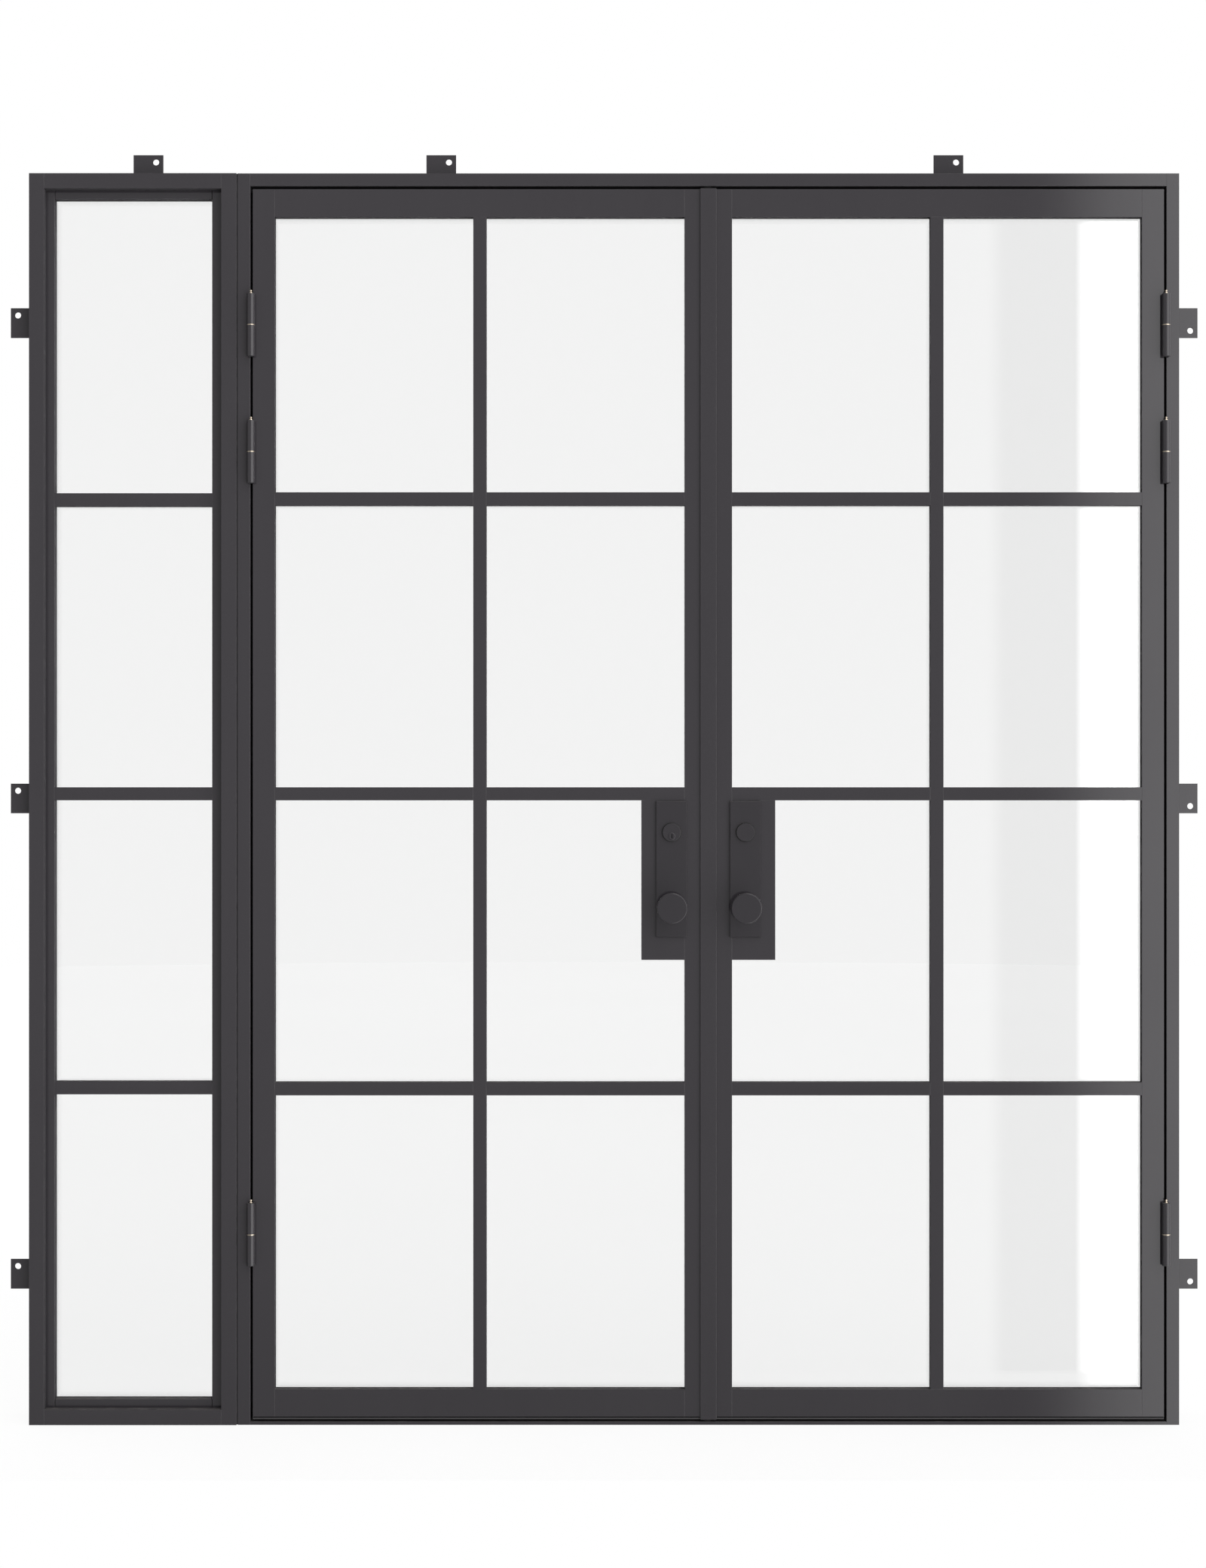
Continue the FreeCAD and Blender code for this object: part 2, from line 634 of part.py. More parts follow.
def lock_box(name, bored, neighbours):
    """The steel case that fills the pane's corner, rebated for the glass and cut to fit its neighbours."""
    right = f"({STILE_INNER_RIGHT} + {GROOVE_DEPTH})"
    top = f"({LOCK_BOX_TOP} + {GROOVE_DEPTH})"
    spindle_hole = f"{size('spindle_diameter')} + 2 * {size('spindle_room')}"
    holes = ((LOCK_CENTRE, KNOB_LEVEL, spindle_hole),) if bored else ()
    case = plate(f"{name}_case", rectangle(LOCK_BOX_LEFT, LOCK_BOX_LOW, right, top), FRONT, LEAF_BACK, holes)
    side = rectangle(LOCK_BOX_LEFT, LOCK_BOX_LOW, f"{LOCK_BOX_LEFT} + {GROOVE_DEPTH}", top)
    foot = rectangle(LOCK_BOX_LEFT, LOCK_BOX_LOW, right, f"{LOCK_BOX_LOW} + {GROOVE_DEPTH}")
    rebates = [
        plate(f"{name}_side_rebate", side, GLASS_FRONT, LEAF_BACK),
        plate(f"{name}_foot_rebate", foot, GLASS_FRONT, LEAF_BACK),
    ]
    return cut(f"{name}_fitted", case, rebates + neighbours)


def escutcheon(name, face, outward, bored):
    """A bevelled plate on one face of the lock box, with a bearing if a knob turns in it."""
    half = f"{size('escutcheon_width')} / 2"
    high = f"{LOCK_BOX_TOP} - {size('escutcheon_top_inset')}"
    low = f"{high} - {size('escutcheon_height')}"
    outline = rectangle(f"{LOCK_CENTRE} - {half}", low, f"{LOCK_CENTRE} + {half}", high)
    bearing = f"{size('knob_neck_diameter')} + 2 * {size('knob_bearing_clearance')}"
    holes = ((LOCK_CENTRE, KNOB_LEVEL, bearing),) if bored else ()
    thickness = size("escutcheon_thickness")
    front, back = (f"({face} - {thickness})", face) if outward < 0 else (face, f"({face} + {thickness})")
    body = plate(name, outline, front, back, holes)
    DOCUMENT.recompute()
    pad = body.Tip
    outer_face = -number(thickness) if outward < 0 else 0
    rim = []
    for index, edge in enumerate(pad.Shape.Edges, start=1):
        straight = edge.Curve.TypeId == "Part::GeomLine"
        box = edge.BoundBox
        if straight and abs(box.YMin - outer_face) < 1e-6 and abs(box.YMax - outer_face) < 1e-6:
            rim.append(f"Edge{index}")
    bevel = body.newObject("PartDesign::Chamfer", f"{name}_bevel")
    bevel.Base = (pad, rim)
    bevel.setExpression("Size", size("escutcheon_chamfer"))
    return body


PLATE_FRONT = f"({FRONT} - {size('escutcheon_thickness')})"
PLATE_BACK = f"({LEAF_BACK} + {size('escutcheon_thickness')})"


def turned_on_plate(name, profile, face, level_z):
    """A round piece seated on a plate's outer face; its profile runs inward along +Y."""
    piece = turned(name, "XY_Plane", profile)
    if face == PLATE_BACK:
        piece.Placement.Rotation = FreeCAD.Rotation(FreeCAD.Vector(0, 0, 1), 180)
    return place(piece, LOCK_CENTRE, face, level_z)


def cylinder_collar(name, face):
    """The collar of a lock cylinder."""
    profile = rectangle("0", f"-{size('cylinder_proud')}", f"{size('cylinder_diameter')} / 2", "0")
    return turned_on_plate(name, profile, face, CYLINDER_LEVEL)


def key_cylinder():
    """The keyed cylinder: its plug sits below the middle of the collar."""
    collar = cylinder_collar("key_collar", PLATE_FRONT)
    plug_face = f"({PLATE_FRONT} - {size('cylinder_proud')} - {size('plug_proud')})"
    plug_level = f"({CYLINDER_LEVEL} - {size('plug_drop')})"
    plug = DOCUMENT.addObject("Part::Cylinder", "key_plug")
    plug.setExpression("Radius", f"{size('plug_diameter')} / 2")
    plug.setExpression("Height", f"{size('plug_proud')} + {size('cylinder_proud')}")
    plug.Placement.Rotation = FreeCAD.Rotation(FreeCAD.Vector(1, 0, 0), -90)
    place(plug, LOCK_CENTRE, plug_face, plug_level)
    half = f"{size('keyway_width')} / 2"
    rise = f"{size('keyway_height')} / 2"
    slot = rectangle(
        f"{LOCK_CENTRE} - {half}", f"{plug_level} - {rise}",
        f"{LOCK_CENTRE} + {half}", f"{plug_level} + {rise}")
    keyway = plate("keyway", slot, plug_face, f"({plug_face} + {size('keyway_depth')})")
    return cut("key_cylinder_cut", fused("key_cylinder_joined", [collar, plug]), [keyway])


def turn_piece():
    """The inside of the same lock: a collar with an upright blade to turn."""
    collar = cylinder_collar("turn_collar", PLATE_BACK)
    half = f"{size('turn_thickness')} / 2"
    rise = f"{size('turn_length')} / 2"
    blade = rectangle(
        f"{LOCK_CENTRE} - {half}", f"{CYLINDER_LEVEL} - {rise}",
        f"{LOCK_CENTRE} + {half}", f"{CYLINDER_LEVEL} + {rise}")
    end = f"({PLATE_BACK} + {size('cylinder_proud')} + {size('turn_reach')})"
    return fused("turn_joined", [collar, plate("turn_blade", blade, PLATE_BACK, end)])


def knob_profile(neck_end, inner):
    """Half the outline of a flat round knob and its neck, closed by the inner corners."""
    radius = f"({size('knob_diameter')} / 2)"
    edge = size("knob_edge")
    face = f"-{size('knob_reach')}"
    disc_back = f"({face} + {size('knob_thickness')})"
    neck = f"{size('knob_neck_diameter')} / 2"
    return [
        ("0", face),
        (f"{radius} - {edge}", face),
        (radius, f"{face} + {edge}"),
        (radius, disc_back),
        (neck, disc_back),
        (neck, neck_end),
    ] + inner


def turning_knobs():
    """The front knob carries the spindle, which ends in the back knob's bore."""
    neck_end = f"({size('escutcheon_thickness')} - {size('knob_end_room')})"
    through = f"({size('leaf_thickness')} + {size('escutcheon_thickness')} + {size('spindle_grip')})"
    spindle = f"{size('spindle_diameter')} / 2"
    bore = f"{spindle} + {size('knob_bearing_clearance')}"
    bore_end = f"{neck_end} - {size('spindle_grip')} - {size('knob_end_room')}"
    with_spindle = [(spindle, neck_end), (spindle, through), ("0", through)]
    with_bore = [(bore, neck_end), (bore, bore_end), ("0", bore_end)]
    front = turned_on_plate("knob_front_turned", knob_profile(neck_end, with_spindle), PLATE_FRONT, KNOB_LEVEL)
    back = turned_on_plate("knob_back_turned", knob_profile(neck_end, with_bore), PLATE_BACK, KNOB_LEVEL)
    return [front, back]


def fixed_knobs():
    """The other leaf's knobs don't turn: their necks stand on the plates."""
    return [
        turned_on_plate("fixed_knob_front", knob_profile("0", [("0", "0")]), PLATE_FRONT, KNOB_LEVEL),
        turned_on_plate("fixed_knob_back", knob_profile("0", [("0", "0")]), PLATE_BACK, KNOB_LEVEL),
    ]


# Hinges

HINGE_X = f"({LEFT_REVEAL} + {size('side_gap')} / 2)"
HINGE_Y = f"({FRONT} - {size('hinge_axis_reach')})"
KNUCKLE = f"(({size('barrel_length')} - {size('hinge_washer_thickness')}) / 2)"


def barrel_radius():
    return f"{size('barrel_diameter')} / 2"


def web_piece(name, bottom, side):
    """The short steel web that carries a knuckle on the face beside the gap."""
    gap = f"{size('side_gap')} / 2"
    outer = f"{barrel_radius()} - {size('hinge_web_inset')}"
    if side < 0:
        x0, x1 = f"-({outer})", f"-({gap})"
    else:
        x0, x1 = gap, outer
    reach = size("hinge_axis_reach")
    outline = rectangle(x0, f"{reach} - {size('hinge_web_depth')}", x1, reach)
    body = padded(name, "XY_Plane", outline, KNUCKLE)
    return place(body, HINGE_X, HINGE_Y, bottom)


def lower_knuckle(index, middle):
    """The frame's half: a plain barrel that the pin stands on."""
    outline = rectangle("0", "0", barrel_radius(), KNUCKLE)
    bottom = f"({middle} - {size('barrel_length')} / 2)"
    barrel = place(turned(f"lower_barrel_{index}", "XZ_Plane", outline), HINGE_X, HINGE_Y, bottom)
    return fused(f"lower_knuckle_{index}", [barrel, web_piece(f"lower_web_{index}", bottom, -1)])


def upper_knuckle(index, middle):
    """The leaf's half: a barrel with a blind bore that drops over the pin."""
    radius = barrel_radius()
    bore = f"{size('hinge_pin_diameter')} / 2 + {size('hinge_pin_clearance')}"
    depth = f"{size('hinge_pin_length')} + {size('hinge_pin_end_room')}"
    outline = [
        (bore, "0"),
        (radius, "0"),
        (radius, KNUCKLE),
        ("0", KNUCKLE),
        ("0", depth),
        (bore, depth),
    ]
    bottom = f"({middle} + {size('hinge_washer_thickness')} / 2 + {size('hinge_washer_room')})"
    barrel = place(turned(f"upper_barrel_{index}", "XZ_Plane", outline), HINGE_X, HINGE_Y, bottom)
    return fused(f"upper_knuckle_{index}", [barrel, web_piece(f"upper_web_{index}", bottom, 1)])


def hinge_pin(index, middle):
    """A brass pin whose collar parts the two knuckles."""
    pin = f"{size('hinge_pin_diameter')} / 2"
    collar = size("hinge_washer_thickness")
    tip = f"{collar} + {size('hinge_pin_length')}"
    outline = [
        ("0", "0"),
        (barrel_radius(), "0"),
        (barrel_radius(), collar),
        (pin, collar),
        (pin, tip),
        ("0", tip),
    ]
    bottom = f"({middle} - {collar} / 2)"
    return place(turned(f"hinge_pin_{index}", "XZ_Plane", outline), HINGE_X, HINGE_Y, bottom)


def grease_nipple(index, middle):
    """A six-sided base, a narrow neck and a wider head, all faceted."""
    seat = f"({middle} + {size('barrel_length')} / 2 + {size('hinge_washer_room')})"
    pieces = []
    for part in ("base", "neck", "head"):
        piece = DOCUMENT.addObject("Part::Prism", f"nipple_{part}_{index}")
        piece.Polygon = 6
        piece.setExpression("Circumradius", f"{size(f'nipple_{part}_diameter')} / 2")
        piece.setExpression("Height", size(f"nipple_{part}_height"))
        pieces.append(place(piece, HINGE_X, HINGE_Y, seat))
        seat = f"({seat} + {size(f'nipple_{part}_height')})"
    return fused(f"nipple_{index}", pieces)


def hinges():
    sets = {"lower": lower_knuckle, "pin": hinge_pin, "upper": upper_knuckle, "nipple": grease_nipple}
    left = {}
    for kind, make in sets.items():
        pieces = [make(index + 1, middle) for index, middle in enumerate(HINGE_HEIGHTS)]
        left[kind] = grouped(f"{kind}_left_group", pieces)
    right = {kind: mirrored(f"{kind}_right_group", left[kind]) for kind in sets}
    keep(grouped("frame_knuckle_group", [left["lower"], right["lower"]]), "frame_hinge_knuckles")
    keep(grouped("pin_group", [left["pin"], right["pin"]]), "hinge_pins")
    keep(left["upper"], "left_leaf_knuckles")
    keep(right["upper"], "right_leaf_knuckles")
    keep(left["nipple"], "left_leaf_grease_nipples")
    keep(right["nipple"], "right_leaf_grease_nipples")


# Strips on the leaves' edges

def astragal():
    """A flat bar on the left leaf that laps the right leaf's face with a little room."""
    half = f"{size('astragal_width')} / 2"
    face = f"{FRONT} - {size('astragal_room')} - {size('astragal_thickness')}"
    lap = f"{FRONT} - {size('astragal_room')}"
    section = [
        (f"{MEETING} - {half}", face),
        (f"{MEETING} + {half}", face),
        (f"{MEETING} + {half}", lap),
        (LEAF_RIGHT, lap),
        (LEAF_RIGHT, FRONT),
        (f"{MEETING} - {half}", FRONT),
    ]
    top = f"({HEAD_UNDERSIDE} - {size('astragal_head_room')})"
    keep(upright("astragal_bar", section, SWEEP_BOTTOM, top), "astragal")


def door_sweep():
    """The strip under the bottom rail, relieved along both upper edges."""
    inset = size("sweep_inset")
    relief = size("sweep_relief")
    step = size("sweep_relief_width")
    section = [
        (f"{FRONT} + {inset}", SWEEP_BOTTOM),
        (f"{LEAF_BACK} - {inset}", SWEEP_BOTTOM),
        (f"{LEAF_BACK} - {inset}", f"{LEAF_BOTTOM} - {relief}"),
        (f"{LEAF_BACK} - {step}", f"{LEAF_BOTTOM} - {relief}"),
        (f"{LEAF_BACK} - {step}", LEAF_BOTTOM),
        (f"{FRONT} + {step}", LEAF_BOTTOM),
        (f"{FRONT} + {step}", f"{LEAF_BOTTOM} - {relief}"),
        (f"{FRONT} + {inset}", f"{LEAF_BOTTOM} - {relief}"),
    ]
    end = f"({LEAF_RIGHT} - {size('meeting_bevel')})"
    return {"sweep": level("sweep_bar", section, LEAF_LEFT, end)}


# Anchor tabs round the frame

def anchor_tab(name, x0, z0, across, up, hole_x, hole_z):
    """One welded tab: its outline, and its hole the same distance from two edges."""
    front = f"({FRONT} + {size('tab_setback')})"
    back = f"({front} + {size('tab_thickness')})"
    outline = rectangle(x0, z0, f"{x0} + {across}", f"{z0} + {up}")
    return plate(name, outline, front, back, ((hole_x, hole_z, size("tab_hole_diameter")),))


def anchor_tabs():
    length = size("tab_length")
    reach = size("tab_reach")
    edge = size("tab_hole_edge")
    out = f"{reach} - {edge}"
    tabs = []
    for index, centre in enumerate(("top_tab_first", "top_tab_second", "top_tab_third")):
        x0 = f"{size(centre)} - {length} / 2"
        hole_x = f"{size(centre)} + {length} / 2 - {edge}"
        tabs.append(anchor_tab(f"tab_top_{index + 1}", x0, TOP, length, reach, hole_x, f"{TOP} + {out}"))
    lowest = size("side_tab_rise")
    highest = f"({TOP} - {size('side_tab_drop')})"
    centres = (lowest, f"(({lowest} + {highest}) / 2)", highest)
    for name, centre in enumerate(centres, start=1):
        z0 = f"{centre} - {length} / 2"
        high = f"{centre} + {length} / 2 - {edge}"
        low = f"{centre} - {length} / 2 + {edge}"
        left_x = f"{LEFT} - {reach}"
        tabs.append(anchor_tab(f"tab_left_{name}", left_x, z0, reach, length, f"{LEFT} - ({out})", high))
        tabs.append(anchor_tab(f"tab_right_{name}", RIGHT, z0, reach, length, f"{RIGHT} + {out}", low))
    keep(grouped("tab_group", tabs), "anchor_tabs")


def leaves():
    """Every piece that both leaves have, and the lock sets, which differ."""
    shared = {}
    for make in (leaf_frame, leaf_glazing, door_sweep):
        shared.update(make())
    for name, piece in shared.items():
        keep(piece, f"left_leaf_{name}")
        keep(mirrored(f"right_{name}_twin", piece), f"right_leaf_{name}")

    neighbours = [shared["meeting_stile"], shared["muntins"]]
    keep(lock_box("lock_box", True, neighbours), "left_leaf_lock_box")
    blank_box = lock_box("blank_box", False, neighbours)
    keep(mirrored("right_lock_box_twin", blank_box), "right_leaf_lock_box")
    plates = [escutcheon("plate_front", FRONT, -1, True), escutcheon("plate_back", LEAF_BACK, 1, True)]
    blank_plates = [
        escutcheon("blank_plate_front", FRONT, -1, False),
        escutcheon("blank_plate_back", LEAF_BACK, 1, False),
    ]
    keep(grouped("plate_group", plates), "left_leaf_escutcheons")
    keep(mirrored("right_plate_twins", grouped("blank_plate_group", blank_plates)), "right_leaf_escutcheons")
    keep(grouped("cylinder_group", [key_cylinder(), turn_piece()]), "left_leaf_lock_cylinders")
    blanks = [cylinder_collar("blank_front", PLATE_FRONT), cylinder_collar("blank_back", PLATE_BACK)]
    keep(mirrored("right_blank_twins", grouped("blank_group", blanks)), "right_leaf_blank_cylinders")
    keep(grouped("turning_knob_group", turning_knobs()), "left_knobs")
    keep(mirrored("right_knob_twins", grouped("fixed_knob_group", fixed_knobs())), "right_leaf_knobs")


# The whole door

def build():
    door_frame()
    door_stops()
    door_gaskets()
    sidelight_frame()
    sidelight_glazing()
    anchor_tabs()
    leaves()
    astragal()
    hinges()
    DOCUMENT.recompute()


def check():
    """Stop if any object failed, or any sub-part is empty or broken."""
    for thing in DOCUMENT.Objects:
        if "Invalid" in thing.State or "Error" in thing.State:
            raise RuntimeError(f"{thing.Name} ({thing.Label}) failed: {thing.State}")
    for thing in EXPORTED:
        shape = thing.Shape
        if shape.isNull() or not shape.isValid() or not shape.Solids:
            raise RuntimeError(f"{thing.Label} has no valid solid")


def export():
    os.makedirs("parts", exist_ok=True)
    for thing in EXPORTED:
        thing.Shape.exportStep(f"parts/{thing.Label}.step")
        solids = thing.Shape.Solids
        volume = sum(solid.Volume for solid in solids) / 1e6
        print(f"{thing.Label}: {len(solids)} solids, {volume:.3f} litres")


build()
check()
export()
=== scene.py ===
import json
import math
import bpy
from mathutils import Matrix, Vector

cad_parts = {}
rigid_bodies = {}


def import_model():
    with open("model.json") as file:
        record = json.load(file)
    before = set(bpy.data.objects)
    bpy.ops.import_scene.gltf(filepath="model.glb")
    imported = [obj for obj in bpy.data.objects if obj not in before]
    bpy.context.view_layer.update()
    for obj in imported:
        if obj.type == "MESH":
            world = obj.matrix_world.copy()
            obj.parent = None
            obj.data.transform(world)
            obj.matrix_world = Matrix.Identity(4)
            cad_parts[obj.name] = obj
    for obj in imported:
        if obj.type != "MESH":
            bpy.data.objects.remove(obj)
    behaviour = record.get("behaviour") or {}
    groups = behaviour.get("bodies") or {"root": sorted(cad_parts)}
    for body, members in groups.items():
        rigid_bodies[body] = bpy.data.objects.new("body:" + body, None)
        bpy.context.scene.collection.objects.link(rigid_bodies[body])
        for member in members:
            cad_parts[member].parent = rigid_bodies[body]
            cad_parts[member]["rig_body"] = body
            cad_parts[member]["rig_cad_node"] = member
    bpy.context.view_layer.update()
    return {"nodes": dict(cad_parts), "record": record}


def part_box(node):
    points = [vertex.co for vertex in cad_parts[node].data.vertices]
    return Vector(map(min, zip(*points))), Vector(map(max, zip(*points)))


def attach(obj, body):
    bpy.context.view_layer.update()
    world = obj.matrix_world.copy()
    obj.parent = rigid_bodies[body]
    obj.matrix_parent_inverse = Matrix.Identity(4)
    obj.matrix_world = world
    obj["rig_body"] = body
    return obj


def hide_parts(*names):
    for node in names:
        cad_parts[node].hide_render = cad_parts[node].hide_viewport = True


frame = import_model()
nodes = frame["nodes"]
MM = 0.001
QUARTER_TURN = math.radians(90)
HALF_TURN = math.radians(180)
SAME_PLACE = 1e-6
NEARLY_FLAT = math.radians(1)
SHARP = math.radians(40)
SQUARE_ON = 0.9
ON_THE_LINE = 0.1 * MM

# Camera: level, square on, as far off as the photograph's perspective says

DOOR_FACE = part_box("door_jamb_left")[0].y
VIEW_DISTANCE = 5.4
VIEW_SIDE = -0.0023
VIEW_HEIGHT = 1.2454
FILM_WIDTH = 36
LENS = 63.80

bpy.ops.object.camera_add(
    location=(VIEW_SIDE, DOOR_FACE - VIEW_DISTANCE, VIEW_HEIGHT), rotation=(QUARTER_TURN, 0, 0))
camera = bpy.context.object
camera.name = "square_on_camera"
camera.data.sensor_width = FILM_WIDTH
camera.data.lens = LENS
bpy.context.scene.camera = camera
bpy.context.scene.view_settings.view_transform = "Standard"


# Handling of pieces

def pick(*pieces):
    """Select only these pieces, the last one active."""
    if bpy.context.object and bpy.context.object.mode != "OBJECT":
        bpy.ops.object.mode_set(mode="OBJECT")
    bpy.ops.object.select_all(action="DESELECT")
    for piece in pieces:
        piece.select_set(True)
    bpy.context.view_layer.objects.active = pieces[-1]


def edit(piece, mode="FACE"):
    """Open a piece for modelling with nothing selected."""
    pick(piece)
    bpy.ops.object.mode_set(mode="EDIT")
    bpy.ops.mesh.select_mode(type=mode)
    bpy.ops.mesh.select_all(action="DESELECT")


def select_faces(piece, test):
    """Select the faces whose middle and direction pass the test."""
    bpy.ops.mesh.select_all(action="DESELECT")
    bpy.ops.object.mode_set(mode="OBJECT")
    for face in piece.data.polygons:
        face.select = test(face.center, face.normal)
    bpy.ops.object.mode_set(mode="EDIT")


def select_points(piece, test):
    """Select the points whose place passes the test."""
    bpy.ops.mesh.select_all(action="DESELECT")
    bpy.ops.object.mode_set(mode="OBJECT")
    for point in piece.data.vertices:
        point.select = test(point.co)
    bpy.ops.object.mode_set(mode="EDIT")


def settle(piece):
    """Leave a piece at the origin, with its place in its mesh."""
    pick(piece)
    bpy.ops.object.transform_apply(location=True, rotation=True, scale=True)
    return piece


def apply_modifiers(piece):
    """Turn a piece's modifiers into plain mesh."""
    pick(piece)
    for modifier in list(piece.modifiers):
        bpy.ops.object.modifier_apply(modifier=modifier.name)


def soften(piece, width, segments=2):
    """Round a piece's sharp edges."""
    bevel = piece.modifiers.new("rounded_edges", "BEVEL")
    bevel.width = width
    bevel.segments = segments
    bevel.limit_method = "ANGLE"
    bevel.angle_limit = SHARP
    apply_modifiers(piece)


def even_light(piece):
    """Keep large flat faces flat beside rounded edges."""
    weighted = piece.modifiers.new("even_light", "WEIGHTED_NORMAL")
    weighted.keep_sharp = True
    apply_modifiers(piece)


def smooth(piece, angle=35):
    """Shade a piece smooth, apart from edges sharper than this angle in degrees."""
    pick(piece)
    bpy.ops.object.shade_smooth_by_angle(angle=math.radians(angle))


def twin(piece, name, move=(0, 0, 0)):
    """A copy with its own mesh, moved inside its mesh."""
    copy = piece.copy()
    copy.data = piece.data.copy()
    copy.name = name
    bpy.context.scene.collection.objects.link(copy)
    copy.location = Vector(move)
    return settle(copy)


def joined(pieces, name):
    """Several finished pieces as one."""
    pick(*pieces)
    bpy.ops.object.join()
    whole = bpy.context.object
    whole.name = name
    whole.data.name = name
    return whole


def cad_copy(node, name):
    """A loose copy of a CAD node with its doubled points merged."""
    copy = nodes[node].copy()
    copy.data = nodes[node].data.copy()
    copy.parent = None
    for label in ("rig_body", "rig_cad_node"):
        if label in copy:
            del copy[label]
    copy.name = name
    copy.data.materials.clear()
    bpy.context.scene.collection.objects.link(copy)
    copy.hide_render = False
    copy.hide_viewport = False
    copy.hide_set(False)
    edit(copy, "VERT")
    bpy.ops.mesh.select_all(action="SELECT")
    bpy.ops.mesh.remove_doubles(threshold=SAME_PLACE)
    bpy.ops.mesh.select_all(action="DESELECT")
    bpy.ops.object.mode_set(mode="OBJECT")
    return copy


def solids_of(node):
    """Lowest and highest corner of each solid of a CAD node: low ones first, left before right."""
    copy = cad_copy(node, "measured_copy")
    edit(copy)
    bpy.ops.mesh.select_all(action="SELECT")
    bpy.ops.mesh.separate(type="LOOSE")
    bpy.ops.object.mode_set(mode="OBJECT")
    boxes = []
    for piece in list(bpy.context.selected_objects):
        points = [point.co for point in piece.data.vertices]
        low = Vector([min(point[axis] for point in points) for axis in range(3)])
        high = Vector([max(point[axis] for point in points) for axis in range(3)])
        boxes.append((low, high))
        bpy.data.objects.remove(piece)
    return sorted(boxes, key=lambda box: (round(box[0].z, 3), box[0].x))


# Surface effects shared by several finishes

def effect(name, inputs, outputs):
    """An empty group of nodes with named inputs and outputs."""
    group = bpy.data.node_groups.new(name, "ShaderNodeTree")
    for label, value in inputs:
        socket = group.interface.new_socket(name=label, in_out="INPUT", socket_type="NodeSocketFloat")
        socket.default_value = value
    for label, kind in outputs:
        group.interface.new_socket(name=label, in_out="OUTPUT", socket_type=kind)
    return group, group.nodes.new("NodeGroupInput"), group.nodes.new("NodeGroupOutput")


def add(tree, kind, **settings):
    """A new node with some of its settings."""
    node = tree.nodes.new(kind)
    for key, value in settings.items():
        setattr(node, key, value)
    return node


def maths(tree, operation, first, second=None, clamp=False):
    """A Math node fed by sockets or by plain numbers."""
    node = add(tree, "ShaderNodeMath", operation=operation, use_clamp=clamp)
    for slot, value in enumerate((first, second)):
        if value is None:
            continue
        if isinstance(value, (int, float)):
            node.inputs[slot].default_value = value
        else:
            tree.links.new(value, node.inputs[slot])
    return node.outputs[0]


def spread(tree, value, low, high, new_low=0.0, new_high=1.0):
    """Map one range of values onto another."""
    node = add(tree, "ShaderNodeMapRange")
    tree.links.new(value, node.inputs["Value"])
    ends = {"From Min": low, "From Max": high, "To Min": new_low, "To Max": new_high}
    for label, number in ends.items():
        node.inputs[label].default_value = number
    return node.outputs["Result"]


def speckle(tree, scale, detail=2.0, stretch=(1, 1, 1)):
    """Noise over the object's own coordinates, drawn out along an axis where asked."""
    place = add(tree, "ShaderNodeTexCoord")
    turn = add(tree, "ShaderNodeMapping")
    turn.inputs["Scale"].default_value = stretch
    noise = add(tree, "ShaderNodeTexNoise")
    noise.inputs["Detail"].default_value = detail
    tree.links.new(place.outputs["Object"], turn.inputs["Vector"])
    tree.links.new(turn.outputs["Vector"], noise.inputs["Vector"])
    if isinstance(scale, (int, float)):
        noise.inputs["Scale"].default_value = scale
    else:
        tree.links.new(scale, noise.inputs["Scale"])
    return noise.outputs["Fac"]


def worn_and_highlit_edges():
    """Marks the outer edges, where handling thins a finish and where a lighter colour stands in part for
    a painted edge highlight, and rounds them for the light.
    """
    group, given, result = effect(
        "worn_and_highlit_edges", [("Width", 0.0012), ("Breaks", 60.0)],
        [("Mask", "NodeSocketFloat"), ("Normal", "NodeSocketVector")])
    rounded = add(group, "ShaderNodeBevel", samples=4)
    group.links.new(given.outputs["Width"], rounded.inputs["Radius"])
    facing = add(group, "ShaderNodeNewGeometry")
    agree = add(group, "ShaderNodeVectorMath", operation="DOT_PRODUCT")
    group.links.new(rounded.outputs["Normal"], agree.inputs[0])
    group.links.new(facing.outputs["Normal"], agree.inputs[1])
    edge = spread(group, agree.outputs["Value"], 0.98, 0.78)
    breaks = speckle(group, given.outputs["Breaks"], detail=4.0)
    patches = spread(group, breaks, 0.42, 0.62, new_low=0.15)
    group.links.new(maths(group, "MULTIPLY", edge, patches, clamp=True), result.inputs["Mask"])
    group.links.new(rounded.outputs["Normal"], result.inputs["Normal"])
    return group


STREAK_SHARE = 0.3


def coat_texture():
    """The fine pebbled skin of a sprayed coat over slow, cloudy changes in its sheen."""
    group, given, result = effect(
        "coat_texture", [("Grain", 850.0), ("Clouds", 2.5)],
        [("Height", "NodeSocketFloat"), ("Cloud", "NodeSocketFloat"), ("Fleck", "NodeSocketFloat")])
    pebbles = speckle(group, given.outputs["Grain"])
    clouds = speckle(group, given.outputs["Clouds"], detail=5.0)
    streaks = speckle(group, scale=30.0, detail=4.0, stretch=(1, 1, 0.06))
    cloud_part = maths(group, "MULTIPLY", clouds, 1.0 - STREAK_SHARE)
    streak_part = maths(group, "MULTIPLY", streaks, STREAK_SHARE)
    flecks = speckle(group, scale=1500.0, detail=1.0)
    group.links.new(pebbles, result.inputs["Height"])
    group.links.new(maths(group, "ADD", cloud_part, streak_part), result.inputs["Cloud"])
    group.links.new(spread(group, flecks, 0.66, 0.74), result.inputs["Fleck"])
    return group


